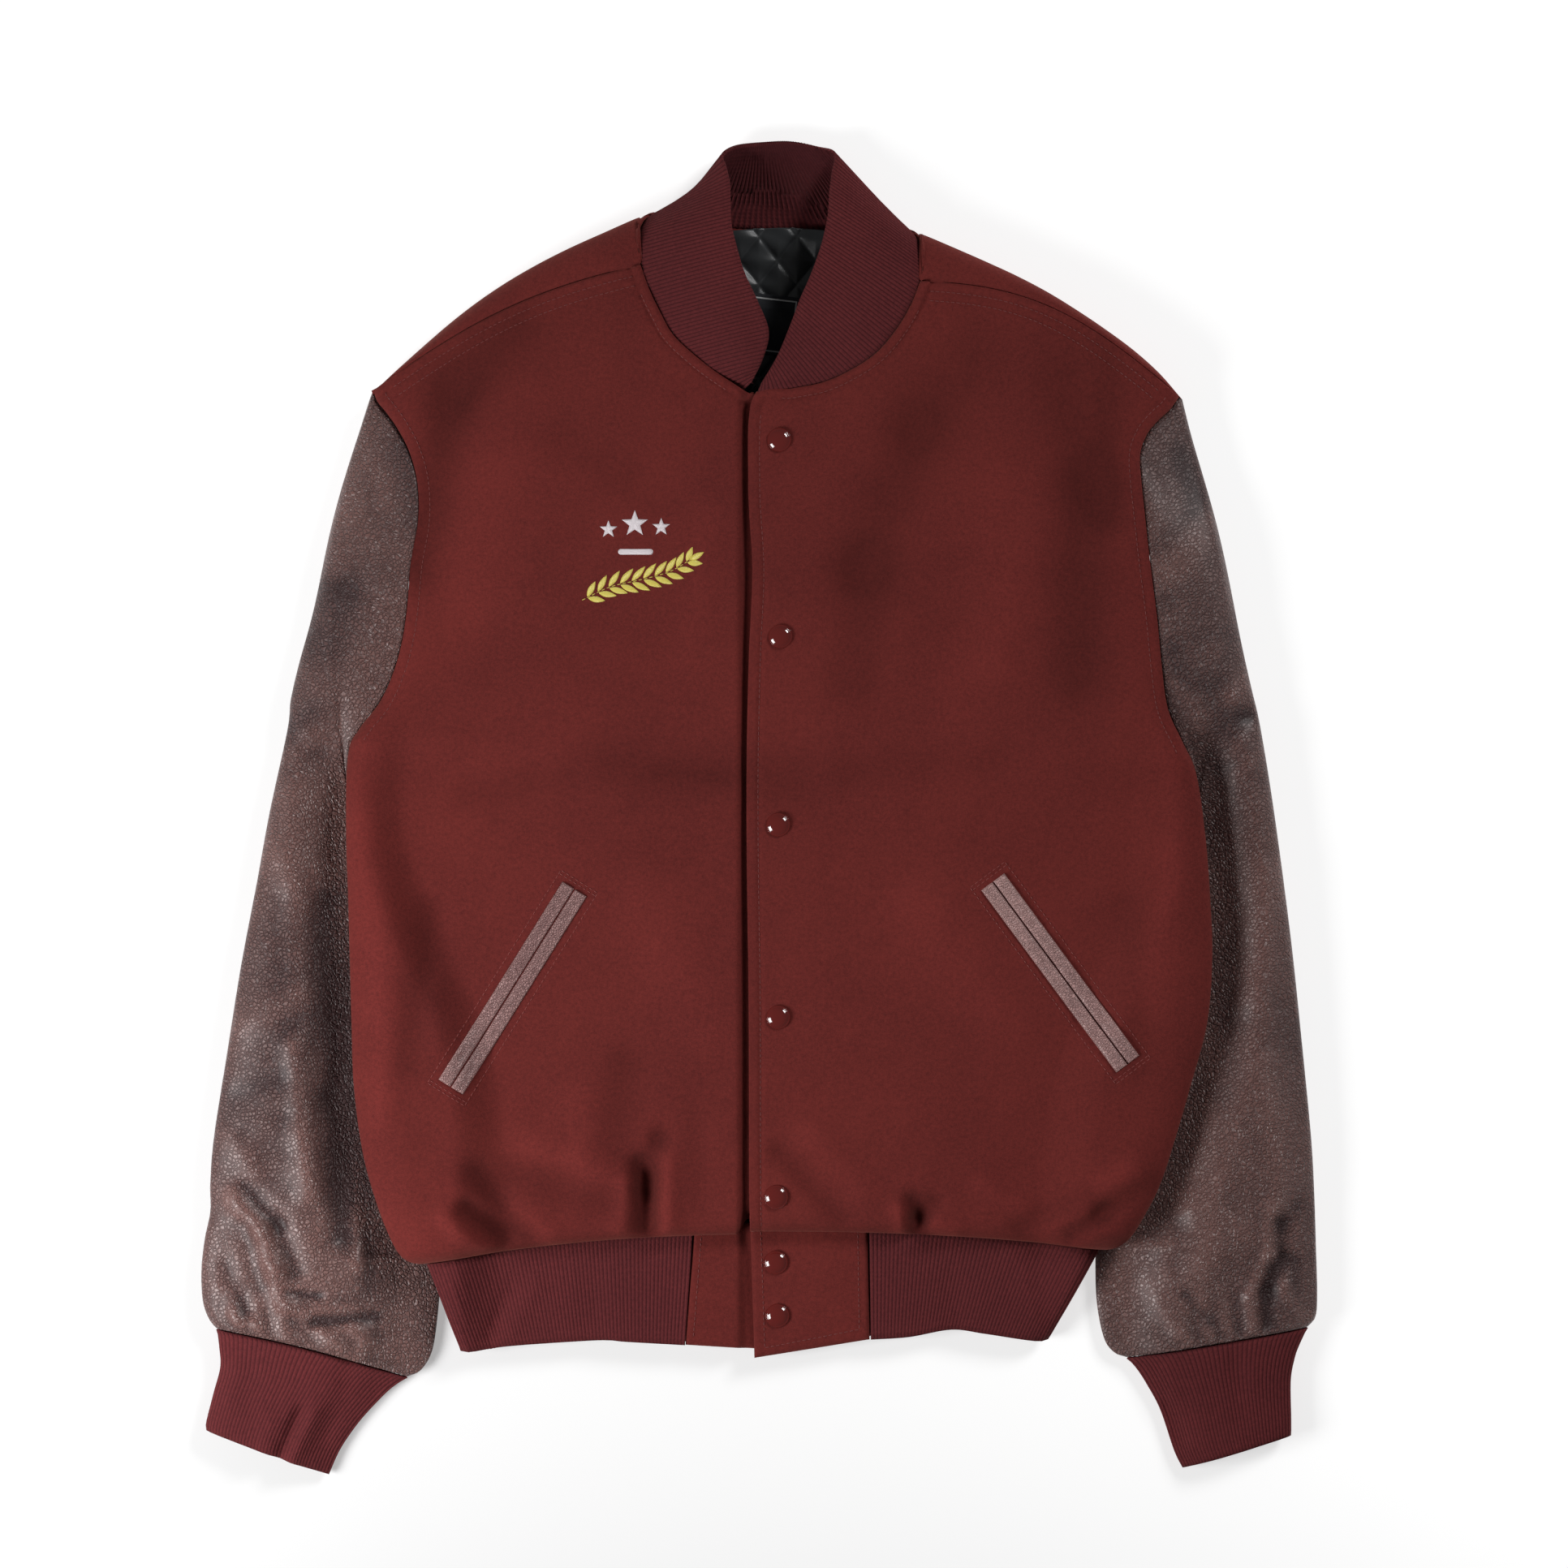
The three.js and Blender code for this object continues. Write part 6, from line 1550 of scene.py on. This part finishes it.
pocket_thread = thread_material("pocket thread", (130, 54, 49))
seam_stitches = stitches("stitches_seams", seam_lines, fronts_top, wool_thread)
pocket_stitches = stitches("stitches_pockets", pocket_box("right") + pocket_box("left"), fronts_top,
                           pocket_thread)
tab_height = top_of(tab_left, tab_right)
tab_stitches = stitches("stitches_tabs", tab_lines(TAB_LEFT, 6.5, ((0, 1), (1, 2), (2, 3)))
                        + tab_lines(TAB_RIGHT, 5, ((0, 1),)), tab_height, wool_thread)
print("lines of stitching on the seams", len(seam_lines))

# %% [markdown]
# The chest carries a small satin-stitched motif: three white stars over a white bar, with a yellow
# laurel sprig below. Satin stitch stands up from the wool and shines along its parallel threads.
# %% Embroidery
SATIN_PITCH = 0.5
PATCH_RINGS = 7
LEAF_WIDTH = 4.0
LEAF_SPLAY = 0.62
RIDGES, ridges_in, ridges_out = new_group("satin stitch ridges", [("Across", "Float", 0.0)],
                                          [("Normal", "Vector")])
ridge_height = calc(RIDGES, "PINGPONG", ridges_in["Across"], SATIN_PITCH / 2)
put(RIDGES, ridges_out["Normal"], bump(RIDGES, ridge_height, 0.7, 0.0006))


def satin_thread(name, colour):
    material, tree, _ = new_material(name)
    dress(material, Roughness=0.38, Base_Color=srgb(*colour), Sheen_Weight=0.2,
          Normal=use_group(tree, RIDGES, {"Across": cloth_axes(tree)["X"]})["Normal"])
    return material


def raised_patch(outline, centre, height, angle):
    """A padded shape: rings of its outline drawn in toward its middle, each a little higher."""
    outline, centre = np.asarray(outline, float), np.asarray(centre, float)
    share = np.linspace(1, 0, PATCH_RINGS + 1)[:-1]
    xy = np.concatenate([centre + s * (outline - centre) for s in share] + [centre[None]])
    rise = np.concatenate([np.full(len(outline), math.sqrt(1 - s ** 2)) for s in share] + [[1.0]])
    ground = np.array([chest_height(x, y) for x, y in xy])
    points = np.column_stack([xy, ground + 0.08 + height * rise])
    count = len(outline)
    faces = []
    for first in range(0, (PATCH_RINGS - 1) * count, count):
        for i in range(count):
            after = (i + 1) % count
            faces.append((first + i, first + after, first + count + after, first + count + i))
    last = (PATCH_RINGS - 1) * count
    faces.extend((last + i, last + (i + 1) % count, last + count) for i in range(count))
    floor = len(points)
    points = np.concatenate([points, np.column_stack([outline, points[:count, 2] - 0.25])])
    faces.extend((floor + i, floor + (i + 1) % count, (i + 1) % count, i) for i in range(count))
    faces.append(tuple(floor + i for i in range(count))[::-1])
    turned_x = points[:, 0] * math.cos(angle) + points[:, 1] * math.sin(angle)
    turned_y = points[:, 1] * math.cos(angle) - points[:, 0] * math.sin(angle)
    return points, faces, np.column_stack([turned_x, turned_y])


def patch_object(name, patches, material):
    points, faces, uvs = [], [], []
    for patch_points, patch_faces, uv in patches:
        start = sum(len(p) for p in points)
        points.append(patch_points)
        uvs.append(uv)
        faces.extend(tuple(start + i for i in face) for face in patch_faces)
    print(name, len(patches), "shapes")
    return mesh_object(name, np.concatenate(points), faces, material, np.concatenate(uvs))


print("threads of satin stitch every", SATIN_PITCH, "mm")

# %% [markdown]
# The motif is drawn by formula: a star with five points, a bar with round ends and a pointed leaf.
# Ten pairs of leaves follow the stem of the sprig, and one more closes its tip.
# %% Shapes of the motif
def star_outline(centre, radius):
    corners = [(radius * (1 if i % 2 == 0 else 0.42), math.pi / 2 + i * math.pi / 5) for i in range(10)]
    corners = np.array([(r * math.cos(a), r * math.sin(a)) for r, a in corners])
    steps = np.linspace(0, 1, 7)[:-1, None]
    return np.concatenate([mix(a, b, steps) for a, b in zip(corners, np.roll(corners, -1, axis=0))]) + centre


def leaf(root, angle, length):
    t = np.linspace(0, 1, 13)
    half = LEAF_WIDTH / 2 * np.sin(math.pi * t) ** 0.8 * (1.15 - 0.4 * t)
    line = np.concatenate([np.column_stack([t * length, -half]),
                           np.column_stack([t * length, half])[::-1][1:-1]])
    turn = np.array([[math.cos(angle), math.sin(angle)], [-math.sin(angle), math.cos(angle)]])
    outline = line @ turn + root
    return raised_patch(outline, outline.mean(axis=0), 0.75, angle)


def bar_outline(centre, width, height):
    ends = [(sx * (width / 2 - height / 2), angle) for sx, start in ((1, -math.pi / 2), (-1, math.pi / 2))
            for angle in np.linspace(start, start + math.pi, 8)]
    return np.array([(x + height / 2 * math.cos(a), height / 2 * math.sin(a)) for x, a in ends]) + centre


chest_height = top_of(front_right)
white_thread = satin_thread("white satin thread", (232, 222, 226))
yellow_thread = satin_thread("yellow satin thread", (226, 210, 96))
white_shapes = [raised_patch(star_outline(np.array(c), r), c, 0.9, a)
                for c, r, a in (((-77.5, 178), 8.6, 0.3), ((-94, 174.5), 5.8, 0.3), ((-61, 176), 5.8, 0.3))]
white_shapes.append(raised_patch(bar_outline(np.array((-77, 160.5)), 22, 3.6), (-77, 160.5), 0.7, 0.0))
stem = refined(np.array([(-111, 130), (-93, 138.5), (-74, 143), (-56, 148), (-41, 156.5)], float), 10)
leaves = []
for number, t in enumerate(np.linspace(0.06, 0.94, 10)):
    root = read_line(stem, [t])[0]
    way = read_line(stem, [min(t + 0.03, 1)])[0] - read_line(stem, [max(t - 0.03, 0)])[0]
    heading = math.atan2(way[1], way[0])
    length = 8.5 + 4.0 * math.sin(math.pi * (0.15 + 0.8 * t))
    for side in (-1, 1):
        beside = 0.5 * side * np.array([-math.sin(heading), math.cos(heading)])
        leaves.append(leaf(root + beside, heading + side * LEAF_SPLAY, length))
leaves.append(leaf(read_line(stem, [0.97])[0], math.atan2(8.5, 15), 10))
motif_white = patch_object("embroidery_white", white_shapes, white_thread)
motif_yellow = patch_object("embroidery_yellow", leaves, yellow_thread)
stem_thread = thread_material("yellow stem thread", (206, 188, 84))
motif_stem = stitches("embroidery_stem", [stem], chest_height, stem_thread, lift=0.35)

# %% [markdown]
# Every piece rides on the part's one body and stands for its solid. Each sheet also prints what flat
# cut it was made from, measured along its own rows and columns.
# %% Ride, replace and print the cuts
def cut_of(grid, closed=False):
    ring = np.concatenate([grid, grid[:, :1]], axis=1) if closed else grid
    width = np.linalg.norm(np.diff(ring, axis=1), axis=2).sum(axis=1).max()
    length = np.linalg.norm(np.diff(ring, axis=0), axis=2).sum(axis=0).max()
    a, b = ring[1:, 1:] - ring[:-1, :-1], ring[1:, :-1] - ring[:-1, 1:]
    area = np.linalg.norm(np.cross(a, b), axis=2).sum() / 2
    return (round(width * MM, 3), round(length * MM, 3)), round(float(area) * MM * MM, 4)


def declare(piece, grid, node, closed=False):
    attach(piece, "root")
    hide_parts(node)
    flat, area = cut_of(grid, closed)
    print(piece.name, "cut", flat, "area", area)


declare(back, lifted(back_grid), "back")
declare(front_right, right_edges, "front_right")
declare(front_left, left_edges, "front_left")
declare(sleeve_right, sleeve_right_grid, "sleeve_right", closed=True)
declare(sleeve_left, sleeve_left_grid, "sleeve_left", closed=True)
declare(cuff_right, cuff_right_grid, "cuff_right", closed=True)
declare(cuff_left, cuff_left_grid, "cuff_left", closed=True)
declare(hem_band, band_grid, "hem_rib")
declare(collar, collar_grid, "collar")
declare(tab_right, right_tab_grid, "hem_tab_right")
declare(tab_left, left_tab_grid, "hem_tab_left")
declare(lining, quilt, "lining")
declare(label, label_cloth, "label")
for welt, node in zip(welts, ("welt_right_side", "welt_right_centre", "welt_left_side", "welt_left_centre")):
    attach(welt, "root")
    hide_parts(node)
for number, cap in enumerate(caps, 1):
    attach(cap, "root")
    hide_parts(f"snap_{number}")
for piece in (motif_white, motif_yellow, motif_stem, seam_stitches, pocket_stitches, tab_stitches):
    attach(piece, "root")

# %% [markdown]
# The jacket is shown as it was photographed: from straight above through a long lens, on a pale
# floor. A large soft light high on the right rakes over the folds and throws soft shadows to the
# lower left, and a small one low on the left keeps that half bright. The floor glows a little, more
# so to the upper right, so that it turns as white as the photo's ground.
# %% Camera, floor and light
TABLE_CENTRE = (15.8, 15.3)
SHOWN_WIDTH = 983.2
LENS = 135
SENSOR = 36
camera_data = bpy.data.cameras.new("camera")
camera_data.lens, camera_data.sensor_width = LENS, SENSOR
camera = bpy.data.objects.new("camera", camera_data)
centre = (np.array([*TABLE_CENTRE, 25.0]) + SHIFT) * MM
camera.location = (centre[0], centre[1], centre[2] + SHOWN_WIDTH * MM * LENS / SENSOR)
camera_data.clip_end = 50
bpy.context.collection.objects.link(camera)
bpy.context.scene.camera = camera

bpy.ops.mesh.primitive_plane_add(size=24, location=(0, 0, -0.0008))
floor = bpy.context.active_object
floor.name = "floor"
floor_material, tree, place = new_material("pale floor")
apart = add_node(tree, "ShaderNodeSeparateXYZ", {"Vector": place}).outputs
# painted glow: the floor's emission rises from the lower left toward the upper right
floor_glow_level = ramp(tree, calc(tree, "ADD", apart["X"], apart["Y"]), -0.9, 0.05, 0.16, 0.66)
glow = add_node(tree, "ShaderNodeCombineColor", dict.fromkeys(range(3), floor_glow_level)).outputs[0]
dress(floor_material, Roughness=0.9, Base_Color=(0.6, 0.6, 0.6, 1), Specular_IOR_Level=0.0,
      Emission_Color=glow, Emission_Strength=1.0)
floor.data.materials.append(floor_material)


def soft_light(name, place, size, power, target=(0, 0, 0)):
    data = bpy.data.lights.new(name, "AREA")
    data.size, data.energy = size, power
    light = bpy.data.objects.new(name, data)
    light.location = place
    bpy.context.collection.objects.link(light)
    light.rotation_euler = (Vector(target) - light.location).to_track_quat("-Z", "Y").to_euler()
    print(name, power, "W,", size, "m wide")


soft_light("key light", (2.6, 2.3, 2.6), 1.3, 86)
soft_light("left light", (-0.95, -0.5, 0.72), 0.55, 14, (-0.15, -0.1, 0))
world = bpy.data.worlds.new("studio")
world.use_nodes = True
background = world.node_tree.nodes["Background"].inputs
background["Color"].default_value = WHITE
background["Strength"].default_value = 0.12
bpy.context.scene.world = world
bpy.context.scene.view_settings.view_transform = "Standard"
